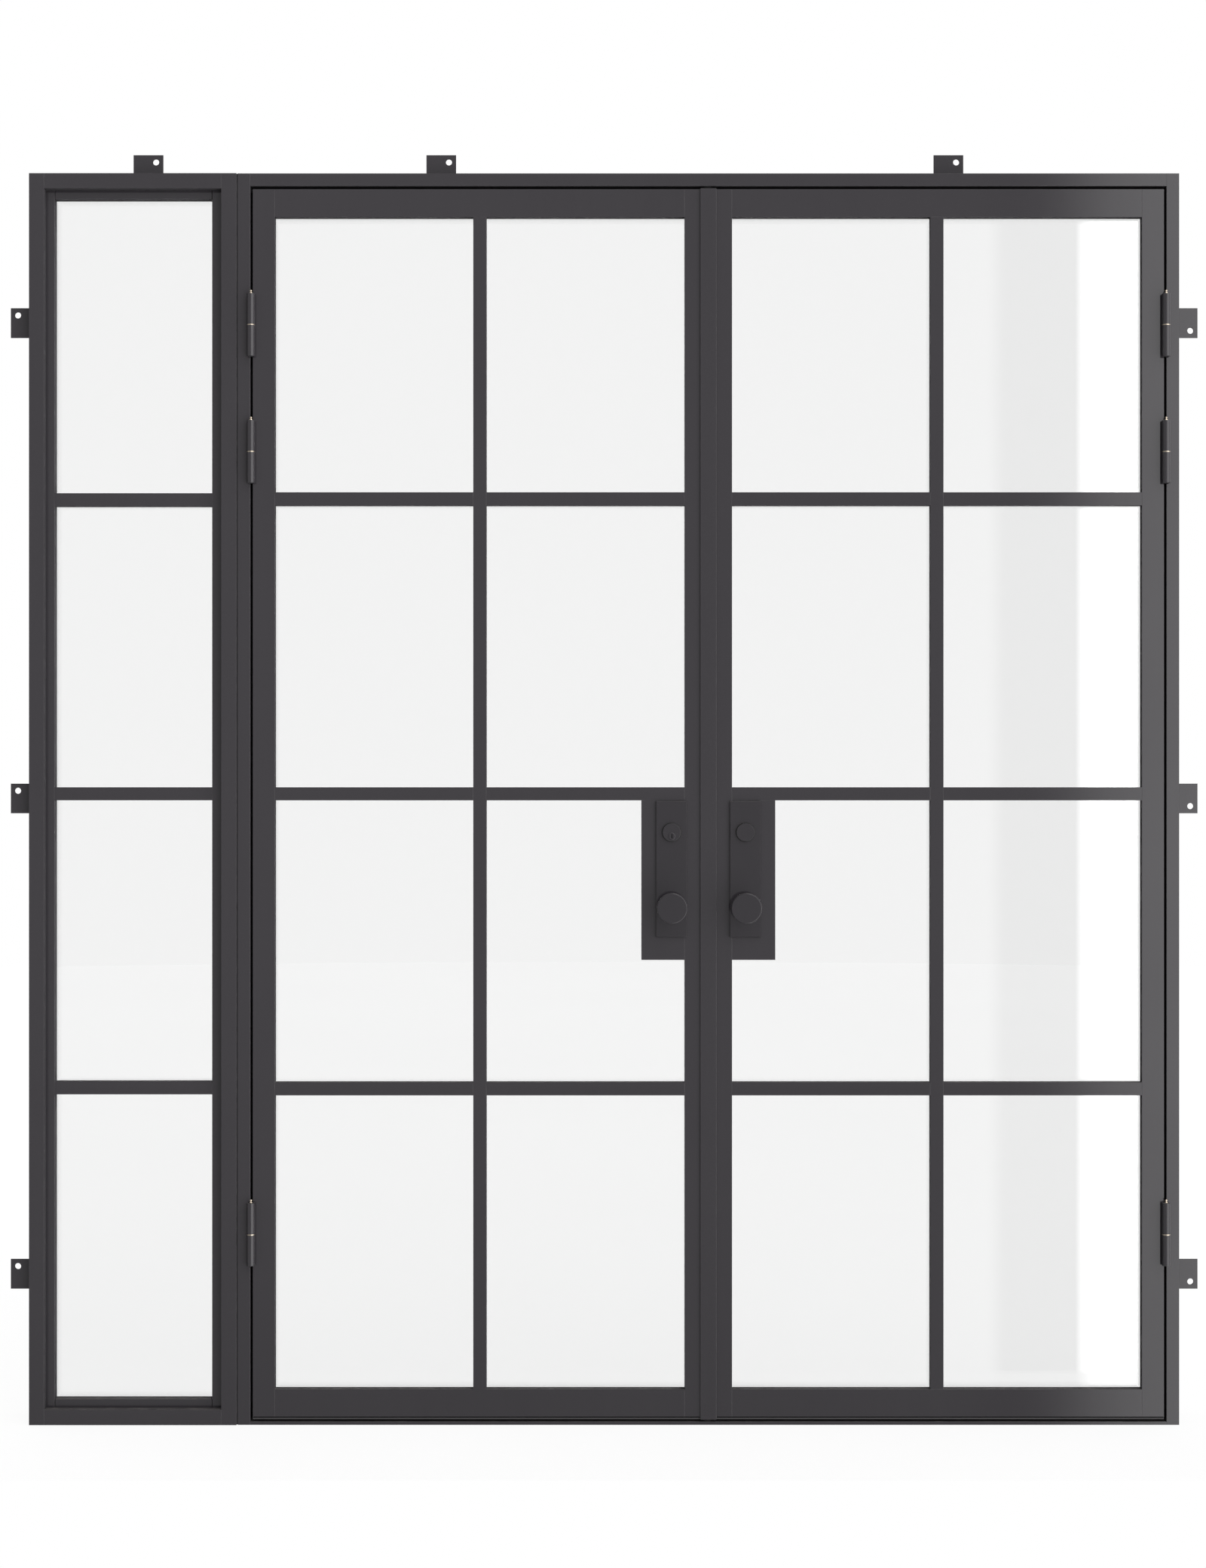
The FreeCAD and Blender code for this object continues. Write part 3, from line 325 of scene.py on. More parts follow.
def dry_spray():
    """Marks the sides of bars, which the spray from front and back reaches thin and dry."""
    group, given, result = effect(
        "dry_spray", [("Reach", 0.75)], [("Mask", "NodeSocketFloat")])
    facing = add(group, "ShaderNodeNewGeometry")
    split = add(group, "ShaderNodeSeparateXYZ")
    group.links.new(facing.outputs["Normal"], split.inputs[0])
    facing_gun = maths(group, "ABSOLUTE", split.outputs["Y"])
    sprayed = maths(group, "DIVIDE", facing_gun, given.outputs["Reach"])
    group.links.new(maths(group, "SUBTRACT", 1.0, sprayed, clamp=True), result.inputs["Mask"])
    return group


def settled_dust():
    """A thin film on what faces up, broken into patches."""
    group, given, result = effect(
        "settled_dust", [("Amount", 0.25)], [("Mask", "NodeSocketFloat")])
    facing = add(group, "ShaderNodeNewGeometry")
    split = add(group, "ShaderNodeSeparateXYZ")
    group.links.new(facing.outputs["Normal"], split.inputs[0])
    upward = spread(group, split.outputs["Z"], 0.5, 0.95)
    patches = spread(group, speckle(group, scale=45.0, detail=6.0), 0.35, 0.7, new_low=0.3)
    film = maths(group, "MULTIPLY", upward, patches)
    thinned = maths(group, "MULTIPLY", film, given.outputs["Amount"], clamp=True)
    group.links.new(thinned, result.inputs["Mask"])
    return group


EFFECTS = {make.__name__: make() for make in (worn_and_highlit_edges, coat_texture, dry_spray, settled_dust)}


def use(tree, name, **values):
    """Place a shared effect in a finish, with values of its own."""
    node = add(tree, "ShaderNodeGroup", node_tree=EFFECTS[name])
    for label, value in values.items():
        node.inputs[label.capitalize()].default_value = value
    return node


def blend_colours(tree, mask, first, second, strength=1.0):
    """Two colours mixed by a mask; either may be a socket or a plain colour."""
    node = add(tree, "ShaderNodeMix", data_type="RGBA")
    factor = maths(tree, "MULTIPLY", mask, strength, clamp=True)
    tree.links.new(factor, node.inputs[0])
    # The node's seventh and eighth inputs and its third output are the ones for colours
    for slot, colour in ((6, first), (7, second)):
        if isinstance(colour, tuple):
            node.inputs[slot].default_value = (*colour, 1)
        else:
            tree.links.new(colour, node.inputs[slot])
    return node.outputs[2]


def finish_named(name):
    """A new finish: its tree and its main shader."""
    material = bpy.data.materials.new(name)
    material.use_nodes = True
    tree = material.node_tree
    return material, tree, tree.nodes["Principled BSDF"]


def bump(tree, shader, height, strength, distance, normal=None):
    """Raise a finish by its grain, on top of a rounded normal where one is given."""
    node = add(tree, "ShaderNodeBump")
    node.inputs["Strength"].default_value = strength
    node.inputs["Distance"].default_value = distance
    tree.links.new(height, node.inputs["Height"])
    if normal is not None:
        tree.links.new(normal, node.inputs["Normal"])
    tree.links.new(node.outputs["Normal"], shader.inputs["Normal"])


# Finishes

COAT_GLOSS = 0.235
COAT_DUST = (0.32, 0.30, 0.28)
FLECK_STRENGTH = 0.25
DULL_CLOUD = 0.015
CLEAR_CLOUD = 0.01
DUST_DULLS = 0.5
BRASS_COLOURS = ((0.44, 0.385, 0.315), (0.27, 0.225, 0.175), (0.60, 0.54, 0.46))
TARNISH_STRENGTH = 0.6
RUBBED_STRENGTH = 0.6
RUBBER_DUST = (0.25, 0.24, 0.22)


def coated_metal(
        name, dark, light, bare_and_highlight, roughness, dry_roughness, grain, edge_width, edge_wear_and_highlight, dust):
    """A sprayed coat on steel: pebbled, slightly cloudy, lighter along its edges as worn coat and painted
    highlight, dull on its sides.
    """
    material, tree, shader = finish_named(name)
    shader.inputs["Specular IOR Level"].default_value = COAT_GLOSS
    coat = use(tree, "coat_texture", grain=grain)
    edges = use(tree, "worn_and_highlit_edges", width=edge_width)
    film = use(tree, "settled_dust", amount=dust)
    cloud = spread(tree, coat.outputs["Cloud"], 0.3, 0.7)
    colour = blend_colours(tree, cloud, dark, light)
    colour = blend_colours(tree, coat.outputs["Fleck"], colour, bare_and_highlight, FLECK_STRENGTH)
    # Lighter edges: partly worn coat, partly a painted edge highlight
    colour = blend_colours(tree, edges.outputs["Mask"], colour, bare_and_highlight, edge_wear_and_highlight)
    colour = blend_colours(tree, film.outputs["Mask"], colour, COAT_DUST)
    tree.links.new(colour, shader.inputs["Base Color"])
    sheen = spread(tree, coat.outputs["Cloud"], 0.3, 0.7, roughness + DULL_CLOUD, roughness - CLEAR_CLOUD)
    dry = use(tree, "dry_spray")
    dried = maths(tree, "MULTIPLY", dry.outputs["Mask"], dry_roughness - roughness)
    sheen = maths(tree, "ADD", sheen, dried)
    dulled = maths(tree, "MULTIPLY", film.outputs["Mask"], DUST_DULLS)
    tree.links.new(maths(tree, "ADD", sheen, dulled, clamp=True), shader.inputs["Roughness"])
    rounded = edges.outputs["Normal"]
    bump(tree, shader, coat.outputs["Height"], strength=0.03, distance=0.0002, normal=rounded)
    return material


def turned_brass(name, tone):
    """Lathe-turned brass, slightly tarnished, its colours darkened by a tone below 1."""
    material, tree, shader = finish_named(name)
    shader.inputs["Metallic"].default_value = 1.0
    edges = use(tree, "worn_and_highlit_edges", width=0.0003, breaks=400.0)
    tarnish = spread(tree, speckle(tree, scale=160.0, detail=5.0), 0.35, 0.7)
    clean, dull, rubbed = (tuple(tone * channel for channel in colour) for colour in BRASS_COLOURS)
    colour = blend_colours(tree, tarnish, clean, dull, TARNISH_STRENGTH)
    colour = blend_colours(tree, edges.outputs["Mask"], colour, rubbed, RUBBED_STRENGTH)
    tree.links.new(colour, shader.inputs["Base Color"])
    tree.links.new(spread(tree, tarnish, 0.0, 1.0, 0.26, 0.42), shader.inputs["Roughness"])
    rings = speckle(tree, scale=500.0, stretch=(0.05, 0.05, 8.0))
    bump(tree, shader, rings, strength=0.15, distance=0.0001, normal=edges.outputs["Normal"])
    return material


def black_rubber(name, dark, light, gloss, dust):
    """Extruded rubber with a grey bloom and some dust on what faces up."""
    material, tree, shader = finish_named(name)
    shader.inputs["Specular IOR Level"].default_value = gloss
    film = use(tree, "settled_dust", amount=dust)
    bloom = spread(tree, speckle(tree, scale=35.0, detail=5.0), 0.4, 0.7)
    colour = blend_colours(tree, bloom, dark, light)
    colour = blend_colours(tree, film.outputs["Mask"], colour, RUBBER_DUST)
    tree.links.new(colour, shader.inputs["Base Color"])
    tree.links.new(spread(tree, bloom, 0.0, 1.0, 0.62, 0.78), shader.inputs["Roughness"])
    bump(tree, shader, speckle(tree, scale=1400.0, detail=3.0), strength=0.2, distance=0.0002)
    return material


def spacer_metal():
    """The dull dark bar that parts the two sheets of a sealed pane."""
    material, tree, shader = finish_named("pane_spacer")
    marks = spread(tree, speckle(tree, scale=90.0, detail=4.0, stretch=(1, 6, 1)), 0.35, 0.65)
    colour = blend_colours(tree, marks, (0.030, 0.030, 0.032), (0.055, 0.055, 0.057))
    tree.links.new(colour, shader.inputs["Base Color"])
    tree.links.new(spread(tree, marks, 0.0, 1.0, 0.38, 0.52), shader.inputs["Roughness"])
    bump(tree, shader, speckle(tree, scale=700.0), strength=0.1, distance=0.0002)
    return material


def clear_glass():
    """Float glass: nearly clear, with the faint waviness of a heat-treated sheet."""
    material, tree, shader = finish_named("clear_pane")
    shader.inputs["Transmission Weight"].default_value = 1.0
    shader.inputs["IOR"].default_value = 1.5
    shader.inputs["Roughness"].default_value = 0.0
    haze = spread(tree, speckle(tree, scale=1.3, detail=3.0), 0.3, 0.7)
    colour = blend_colours(tree, haze, (0.9430, 0.9440, 0.9433), (0.9410, 0.9420, 0.9413))
    tree.links.new(colour, shader.inputs["Base Color"])
    waves = speckle(tree, scale=3.0, detail=1.0, stretch=(1, 1, 2.5))
    bump(tree, shader, waves, strength=0.02, distance=0.00006)
    return material


frame_coat = coated_metal(
    "satin_frame_coat", (0.0157, 0.0143, 0.0164), (0.0176, 0.0162, 0.0183), (0.075, 0.072, 0.075),
    roughness=0.088, dry_roughness=0.75, grain=850.0, edge_width=0.0012, edge_wear_and_highlight=0.45, dust=0.10)
weld_coat = coated_metal(
    "coated_weld", (0.0137, 0.0125, 0.0144), (0.0170, 0.0157, 0.0177), (0.08, 0.077, 0.08),
    roughness=0.26, dry_roughness=0.6, grain=1500.0, edge_width=0.0005, edge_wear_and_highlight=0.4, dust=0.12)
lock_coat = coated_metal(
    "black_lock_finish", (0.0118, 0.0107, 0.0125), (0.0137, 0.0125, 0.0144), (0.085, 0.078, 0.070),
    roughness=0.10, dry_roughness=0.5, grain=1900.0, edge_width=0.0004, edge_wear_and_highlight=0.55, dust=0.08)
brass = turned_brass("turned_brass", tone=1.0)
pin_brass = turned_brass("dull_pin_brass", tone=0.66)
rubber = black_rubber(
    "black_rubber", (0.007, 0.007, 0.007), (0.014, 0.0135, 0.013), gloss=0.12, dust=0.3)
# Near-black, nearly unreflecting rubber: painted shadow for the line between each leaf and its sweep
shadow_line_rubber = black_rubber(
    "shadow_line_rubber", (0.002, 0.002, 0.002), (0.004, 0.004, 0.004), gloss=0.02, dust=0.0)
sweep_rubber = black_rubber(
    "sweep_rubber", (0.0125, 0.0115, 0.0125), (0.0165, 0.0155, 0.0165), gloss=0.30, dust=0.3)
spacer = spacer_metal()
glass = clear_glass()


def dress(piece, material, body):
    """Give a piece its finish and the body that carries it."""
    piece.data.materials.clear()
    piece.data.materials.append(material)
    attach(piece, body)


def body_of(node):
    """The body that carries a CAD node."""
    return nodes[node]["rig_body"]


# Finishes of the CAD nodes

SLOT_FINISHES = {
    "steel_paint": frame_coat,
    "hardware_black": lock_coat,
    "glass": glass,
    "gasket_rubber": rubber,
    "hinge_brass": brass,
}
NODE_FINISHES = {
    "left_leaf_sweep": sweep_rubber,
    "right_leaf_sweep": sweep_rubber,
    "hinge_pins": pin_brass,
}
for entry in frame["record"]["subparts"]:
    finish = NODE_FINISHES.get(entry["node"], SLOT_FINISHES[entry["material_slot"]])
    node = nodes[entry["node"]]
    node.data.materials.clear()
    node.data.materials.append(finish)


# Knuckles, knobs and cylinders with their sharp edges rounded

KNUCKLE_EDGE = 0.6 * MM
KNOB_EDGE = 0.5 * MM


def rounded_copy(node, name, width, material):
    """A CAD node remade with soft edges and smooth round sides."""
    piece = cad_copy(node, name)
    edit(piece)
    bpy.ops.mesh.select_all(action="SELECT")
    bpy.ops.mesh.dissolve_limited(angle_limit=NEARLY_FLAT)
    bpy.ops.object.mode_set(mode="OBJECT")
    soften(piece, width, segments=3)
    smooth(piece)
    even_light(piece)
    dress(piece, material, body_of(node))
    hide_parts(node)


for node, name in (
        ("frame_hinge_knuckles", "lower_hinge_knuckles"),
        ("left_leaf_knuckles", "left_hinge_knuckles"),
        ("right_leaf_knuckles", "right_hinge_knuckles")):
    rounded_copy(node, name, KNUCKLE_EDGE, frame_coat)
for node, name in (
        ("left_leaf_lock_cylinders", "keyed_cylinder_and_turn"),
        ("right_leaf_blank_cylinders", "blank_cylinders"),
        ("left_knobs", "turning_knobs"),
        ("right_leaf_knobs", "fixed_knobs")):
    rounded_copy(node, name, KNOB_EDGE, lock_coat)


# Rubber seats round the lock cylinders, partly real seats and partly painted shadow: thin dark rings
# where each collar meets its plate

SEAT_RISE = 0.6 * MM
SEAT_WIDTH = 2.0 * MM
SEAT_LAP = 1.5 * MM
SEAT_EDGE = 0.15 * MM


def seat_ring(radius):
    """A low ring facing -Y, seated on the origin."""
    bpy.ops.mesh.primitive_cylinder_add(
        vertices=72, radius=radius, depth=SEAT_RISE, location=(0, -SEAT_RISE / 2, 0),
        rotation=(QUARTER_TURN, 0, 0))
    ring = settle(bpy.context.object)
    edit(ring)
    select_faces(ring, lambda middle, facing: abs(facing.y) > SQUARE_ON)
    bpy.ops.mesh.inset(thickness=SEAT_WIDTH)
    bpy.ops.mesh.bridge_edge_loops()
    bpy.ops.object.mode_set(mode="OBJECT")
    soften(ring, SEAT_EDGE)
    smooth(ring)
    return ring


for side, node in (
        ("left", "left_leaf_lock_cylinders"),
        ("right", "right_leaf_blank_cylinders")):
    rings = []
    collars = sorted(solids_of(node), key=lambda box: box[0].y)
    plates = sorted(solids_of(f"{side}_leaf_escutcheons"), key=lambda box: box[0].y)
    for index, (low, high) in enumerate(collars):
        ring = seat_ring((high.x - low.x) / 2 + SEAT_LAP)
        face = plates[index][0].y if index == 0 else plates[index][1].y
        if index == 1:
            ring.rotation_euler = (0, 0, HALF_TURN)
        ring.location = ((low.x + high.x) / 2, face, (low.z + high.z) / 2)
        rings.append(settle(ring))
    dress(joined(rings, f"{side}_cylinder_shadow_seats"), rubber, f"{side}_leaf")


# Flared rings where the knobs' necks meet their discs

FLARE_RADIUS = 17 * MM
FLARE_LENGTH = 6 * MM
NECK_RADIUS = 11.3 * MM
DISC_THICKNESS = 14 * MM
FLARE_CUTS = ((0.25, 0.90), (0.5, 0.87), (0.75, 0.91))


def flare_ring():
    """A ring that narrows along +Y from the disc to the neck, seated on the origin."""
    bpy.ops.mesh.primitive_cylinder_add(
        vertices=64, radius=FLARE_RADIUS, depth=FLARE_LENGTH, location=(0, FLARE_LENGTH / 2, 0),
        rotation=(QUARTER_TURN, 0, 0))
    ring = settle(bpy.context.object)
    edit(ring)
    select_faces(ring, lambda middle, facing: facing.y > SQUARE_ON)
    narrow = NECK_RADIUS / FLARE_RADIUS
    bpy.ops.transform.resize(value=(narrow, 1, narrow))
    for share, _ in FLARE_CUTS:
        bpy.ops.mesh.select_all(action="SELECT")
        bpy.ops.mesh.bisect(plane_co=(0, FLARE_LENGTH * share, 0), plane_no=(0, 1, 0))
    for share, narrowing in FLARE_CUTS:
        select_points(ring, lambda place: abs(place.y - FLARE_LENGTH * share) < ON_THE_LINE)
        bpy.ops.transform.resize(value=(narrowing, 1, narrowing))
    bpy.ops.object.mode_set(mode="OBJECT")
    smooth(ring, angle=40)
    return ring


flare = flare_ring()
for node, name, body in (
        ("left_knobs", "turning_knob_flares", "left_knob_set"),
        ("right_leaf_knobs", "fixed_knob_flares", "right_leaf")):
    low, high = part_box(node)
    centre_x, centre_z = (low.x + high.x) / 2, (low.z + high.z) / 2
    front_ring = twin(flare, "flare_copy", (centre_x, low.y + DISC_THICKNESS, centre_z))
    back_ring = twin(flare, "flare_copy")
    back_ring.rotation_euler = (0, 0, HALF_TURN)
    back_ring.location = (centre_x, high.y - DISC_THICKNESS, centre_z)
    dress(joined([front_ring, settle(back_ring)], name), lock_coat, body)
bpy.data.objects.remove(flare)


# Near-black rubber beads that close the joint between each leaf and its sweep and paint the shadow line
# there

JOINT_BEAD_HEIGHT = 1.9 * MM
JOINT_BEAD_RISE = 0.4 * MM
JOINT_BEAD_END = 1.2 * MM
JOINT_BEAD_EDGE = 0.15 * MM


def joint_bead(left, right, face, level):
    """A flat oval bead along X, half sunk into a face that looks to -Y or +Y."""
    bpy.ops.mesh.primitive_cylinder_add(
        vertices=16, radius=JOINT_BEAD_HEIGHT / 2, depth=right - left,
        rotation=(0, QUARTER_TURN, 0), location=((left + right) / 2, 0, level))
    bead = settle(bpy.context.object)
    bead.scale = (1, 2 * JOINT_BEAD_RISE / JOINT_BEAD_HEIGHT, 1)
    bead.location = (0, face, 0)
    settle(bead)
    edit(bead)
    select_faces(bead, lambda middle, facing: abs(facing.x) > SQUARE_ON)
    bpy.ops.mesh.inset(thickness=JOINT_BEAD_EDGE)
    bpy.ops.object.mode_set(mode="OBJECT")
    smooth(bead, angle=40)
    return bead


astragal_low, astragal_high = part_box("astragal")
for side in ("left", "right"):
    low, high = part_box(f"{side}_leaf_sweep")
    leaf_low, leaf_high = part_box(f"{side}_leaf_rails")
    left_end, right_end = low.x + JOINT_BEAD_END, high.x - JOINT_BEAD_END
    if side == "left":
        front_ends = (left_end, astragal_low.x - JOINT_BEAD_END)
    else:
        front_ends = (astragal_high.x + JOINT_BEAD_END, right_end)
    beads = [
        joint_bead(*front_ends, leaf_low.y, high.z),
        joint_bead(left_end, right_end, leaf_high.y, high.z),
    ]
    dress(joined(beads, f"{side}_sweep_shadow_beads"), shadow_line_rubber, f"{side}_leaf")


# Sealed panes: two thin sheets and the spacer between them

SHEET = 4 * MM
SPACER_HEIGHT = 5 * MM
SPACER_ROOM = 0.1 * MM
WELL_OUTSIDE = 10 * MM


def slab_of_panes(node, name, front, back):
    """The part of every pane between two depths."""
    slab = cad_copy(node, name)
    edit(slab)
    for depth, keep_behind in ((front, True), (back, False)):
        bpy.ops.mesh.select_all(action="SELECT")
        bpy.ops.mesh.bisect(
            plane_co=(0, depth, 0), plane_no=(0, 1, 0), use_fill=True,
            clear_inner=keep_behind, clear_outer=not keep_behind)
    bpy.ops.mesh.select_all(action="SELECT")
    bpy.ops.mesh.remove_doubles(threshold=SAME_PLACE)
    bpy.ops.mesh.dissolve_limited(angle_limit=NEARLY_FLAT)
    bpy.ops.mesh.select_all(action="SELECT")
    bpy.ops.mesh.normals_make_consistent(inside=False)
    bpy.ops.object.mode_set(mode="OBJECT")
    return slab


def sealed_panes(node, name):
    """The sheets and spacers of all the panes of one CAD node."""
    low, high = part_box(node)
    front_inside, back_inside = low.y + SHEET, high.y - SHEET
    sheets = [
        slab_of_panes(node, f"{name}_front_sheet", low.y - WELL_OUTSIDE, front_inside),
        slab_of_panes(node, f"{name}_back_sheet", back_inside, high.y + WELL_OUTSIDE),
    ]
    for sheet in sheets:
        dress(sheet, glass, body_of(node))
        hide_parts(node)
    bar = slab_of_panes(
        node, f"{name}_spacers", front_inside + SPACER_ROOM, back_inside - SPACER_ROOM)
    edit(bar)
    select_faces(bar, lambda middle, facing: abs(facing.y) > SQUARE_ON)
    bpy.ops.mesh.delete(type="FACE")
    bpy.ops.object.mode_set(mode="OBJECT")
    wall = bar.modifiers.new("bar_height", "SOLIDIFY")
    wall.thickness = SPACER_HEIGHT
    wall.offset = -1
    wall.use_even_offset = True
    apply_modifiers(bar)
    dress(bar, spacer, body_of(node))
    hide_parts(node)


for node, name in (
        ("sidelight_glass", "sidelight_pane"),
        ("left_leaf_glass", "left_pane"),
        ("right_leaf_glass", "right_pane")):
    sealed_panes(node, name)


# Grease nipples on the hinges

FLANGE_RADIUS = 3 * MM
FLANGE_HEIGHT = 2.2 * MM
NIPPLE_STEPS = ((0.55, 0.5), (0.92, 1.3), (1.55, 0.7), (1.04, 1.2), (0.72, 1.0), (0.45, 0.5))
NIPPLE_EDGE = 0.25 * MM


def grease_nipple():
    """One nipple on the origin: flange, narrow neck and round head."""
    bpy.ops.mesh.primitive_cylinder_add(
        vertices=24, radius=FLANGE_RADIUS, depth=FLANGE_HEIGHT, location=(0, 0, FLANGE_HEIGHT / 2))
    nipple = settle(bpy.context.object)
    edit(nipple)
    select_faces(nipple, lambda middle, facing: facing.z > SQUARE_ON)
    for narrowing, rise in NIPPLE_STEPS:
        bpy.ops.mesh.extrude_region_move(TRANSFORM_OT_translate={"value": (0, 0, rise * MM)})
        bpy.ops.transform.resize(value=(narrowing, narrowing, 1))
    bpy.ops.object.mode_set(mode="OBJECT")
    soften(nipple, NIPPLE_EDGE)
    smooth(nipple)
    return nipple


pattern = grease_nipple()
for side in ("left", "right"):
    node = f"{side}_leaf_grease_nipples"
    copies = []
    for low, high in solids_of(node):
        seat = ((low.x + high.x) / 2, (low.y + high.y) / 2, low.z)
        copies.append(twin(pattern, "nipple_copy", seat))
    nipples = joined(copies, f"{side}_nipples")
    dress(nipples, brass, body_of(node))
    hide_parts(node)
bpy.data.objects.remove(pattern)


# Weld beads behind the anchor tabs

WELD_LENGTH = 50 * MM
WELD_RADIUS = 2.6 * MM
WELD_RIPPLE = 3.2 * MM
END_SQUEEZE = 0.45
RIPPLE_SQUEEZE = 0.8
TOP_TAB_SINK = 1 * MM


def weld_bead(length):
    """A rippled bead along X, centred on the origin."""
    bpy.ops.mesh.primitive_cylinder_add(
        vertices=12, radius=WELD_RADIUS, depth=length, rotation=(0, QUARTER_TURN, 0))
    bead = settle(bpy.context.object)
    edit(bead)
    cuts = int(length / WELD_RIPPLE)
    lines = [-length / 2 + cut * length / cuts for cut in range(cuts + 1)]
    for line in lines[1:-1]:
        bpy.ops.mesh.select_all(action="SELECT")
        bpy.ops.mesh.bisect(plane_co=(line, 0, 0), plane_no=(1, 0, 0))
    bpy.ops.mesh.select_mode(type="VERT")
    for line in lines[::2]:
        select_points(bead, lambda place: abs(place.x - line) < ON_THE_LINE)
        squeeze = END_SQUEEZE if line in (lines[0], lines[-1]) else RIPPLE_SQUEEZE
        bpy.ops.transform.resize(value=(1, squeeze, squeeze))
    bpy.ops.object.mode_set(mode="OBJECT")
    round_off = bead.modifiers.new("melted", "SUBSURF")
    round_off.levels = 1
    round_off.render_levels = 1
    apply_modifiers(bead)
    smooth(bead, angle=60)
    return bead


head_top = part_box("door_head")[1].z
bead = weld_bead(WELD_LENGTH)
beads = []
for low, high in solids_of("anchor_tabs"):
    middle = (low + high) / 2
    copy = twin(bead, "bead_copy")
    if low.z > head_top - TOP_TAB_SINK:
        copy.location = (middle.x, high.y, low.z)
    else:
        jamb_side = high.x if middle.x < 0 else low.x
        copy.rotation_euler = (0, QUARTER_TURN, 0)
        copy.location = (jamb_side, high.y, middle.z)
    beads.append(settle(copy))
bpy.data.objects.remove(bead)
dress(joined(beads, "tab_welds"), weld_coat, "frame")


# Screws of the inside plates and of the sidelight's inside beads

HEAD_RISE = 0.9 * MM
HEAD_EDGE = 0.12 * MM
DISH_SHARE = 0.25
DISH_DEPTH = 0.25 * MM
RECESS_LENGTH_SHARE = 1.15
RECESS_WIDTH_SHARE = 0.26
RECESS_CUTTER_DEPTH = 1.2 * MM
RECESS_CUTTER_LIFT = 0.2 * MM
PLATE_SCREW_RADIUS = 3.6 * MM
PLATE_SCREW_INSET = 14 * MM
BEAD_SCREW_RADIUS = 3.0 * MM
BEAD_SCREW_MARGIN = 45 * MM
BEAD_SCREW_LEFT = 5.4 * MM
BEAD_SCREW_RIGHT = 7 * MM
BEAD_SCREW_ROWS = 3


def countersunk_screw(radius):
    """A shallow screw head with a cross recess, facing +Y, seated on the origin."""
    bpy.ops.mesh.primitive_cylinder_add(
        vertices=32, radius=radius, depth=HEAD_RISE, location=(0, HEAD_RISE / 2, 0),
        rotation=(QUARTER_TURN, 0, 0))
    head = settle(bpy.context.object)
    edit(head)
    select_faces(head, lambda middle, facing: facing.y > SQUARE_ON)
    bpy.ops.mesh.inset(thickness=radius * DISH_SHARE, depth=DISH_DEPTH)
    bpy.ops.object.mode_set(mode="OBJECT")
    soften(head, HEAD_EDGE)
    recess = []
    for turn in (0, QUARTER_TURN):
        bpy.ops.mesh.primitive_cube_add(
            size=1, location=(0, HEAD_RISE + RECESS_CUTTER_LIFT, 0), rotation=(0, turn, 0))
        arm = bpy.context.object
        arm.scale = (radius * RECESS_LENGTH_SHARE, RECESS_CUTTER_DEPTH, radius * RECESS_WIDTH_SHARE)
        recess.append(settle(arm))
    for arm in recess:
        carve = head.modifiers.new("cross", "BOOLEAN")
        carve.operation = "DIFFERENCE"
        carve.object = arm
        apply_modifiers(head)
        bpy.data.objects.remove(arm)
    smooth(head, angle=30)
    return head


screw = countersunk_screw(PLATE_SCREW_RADIUS)
for side in ("left", "right"):
    low, high = max(solids_of(f"{side}_leaf_escutcheons"), key=lambda box: box[0].y)
    middle = (low.x + high.x) / 2
    heights = (low.z + PLATE_SCREW_INSET, high.z - PLATE_SCREW_INSET)
    heads = [twin(screw, "screw_copy", (middle, high.y, height)) for height in heights]
    dress(joined(heads, f"{side}_plate_screws"), lock_coat, f"{side}_leaf")
bpy.data.objects.remove(screw)

bead_screw = countersunk_screw(BEAD_SCREW_RADIUS)
heads = []
for low, high in solids_of("sidelight_beads"):
    if high.y < 0:
        continue
    lowest = low.z + BEAD_SCREW_MARGIN
    pitch = (high.z - low.z - 2 * BEAD_SCREW_MARGIN) / (BEAD_SCREW_ROWS - 1)
    for across in (low.x + BEAD_SCREW_LEFT, high.x - BEAD_SCREW_RIGHT):
        for row in range(BEAD_SCREW_ROWS):
            heads.append(twin(bead_screw, "screw_copy", (across, high.y, lowest + row * pitch)))
dress(joined(heads, "sidelight_bead_screws"), lock_coat, "frame")
bpy.data.objects.remove(bead_screw)


# Studio: pale floor, pale surroundings, a large soft light on the front right, two behind

FLOOR_RADIUS = 14
FLOOR_FRONT = -0.5
FLOOR_GLOW = 0.912
FLOOR_ROUGHNESS = 0.9
FLOOR_GLOSS = 0.1


def pale_floor():
    """A wide round floor, cut off shortly in front of the door."""
    bpy.ops.mesh.primitive_circle_add(
        vertices=96, radius=FLOOR_RADIUS, fill_type="NGON", location=(0, 0, 0))
    floor = settle(bpy.context.object)
    edit(floor)
    bpy.ops.mesh.select_all(action="SELECT")
    bpy.ops.mesh.bisect(plane_co=(0, FLOOR_FRONT, 0), plane_no=(0, 1, 0), clear_inner=True)
    bpy.ops.object.mode_set(mode="OBJECT")
    floor.name = "studio_floor"
    material, tree, shader = finish_named("pale_floor")
    shade = spread(tree, speckle(tree, scale=0.4, detail=3.0), 0.3, 0.7, 0.033, 0.039)
    colour = add(tree, "ShaderNodeCombineColor")
    for channel in range(3):
        tree.links.new(shade, colour.inputs[channel])
    tree.links.new(colour.outputs[0], shader.inputs["Base Color"])
    shader.inputs["Roughness"].default_value = FLOOR_ROUGHNESS
    shader.inputs["Specular IOR Level"].default_value = FLOOR_GLOSS
    shader.inputs["Emission Color"].default_value = (1, 1, 1, 1)
    shader.inputs["Emission Strength"].default_value = FLOOR_GLOW
    floor.data.materials.append(material)
    floor.visible_glossy = False
    floor.visible_diffuse = False


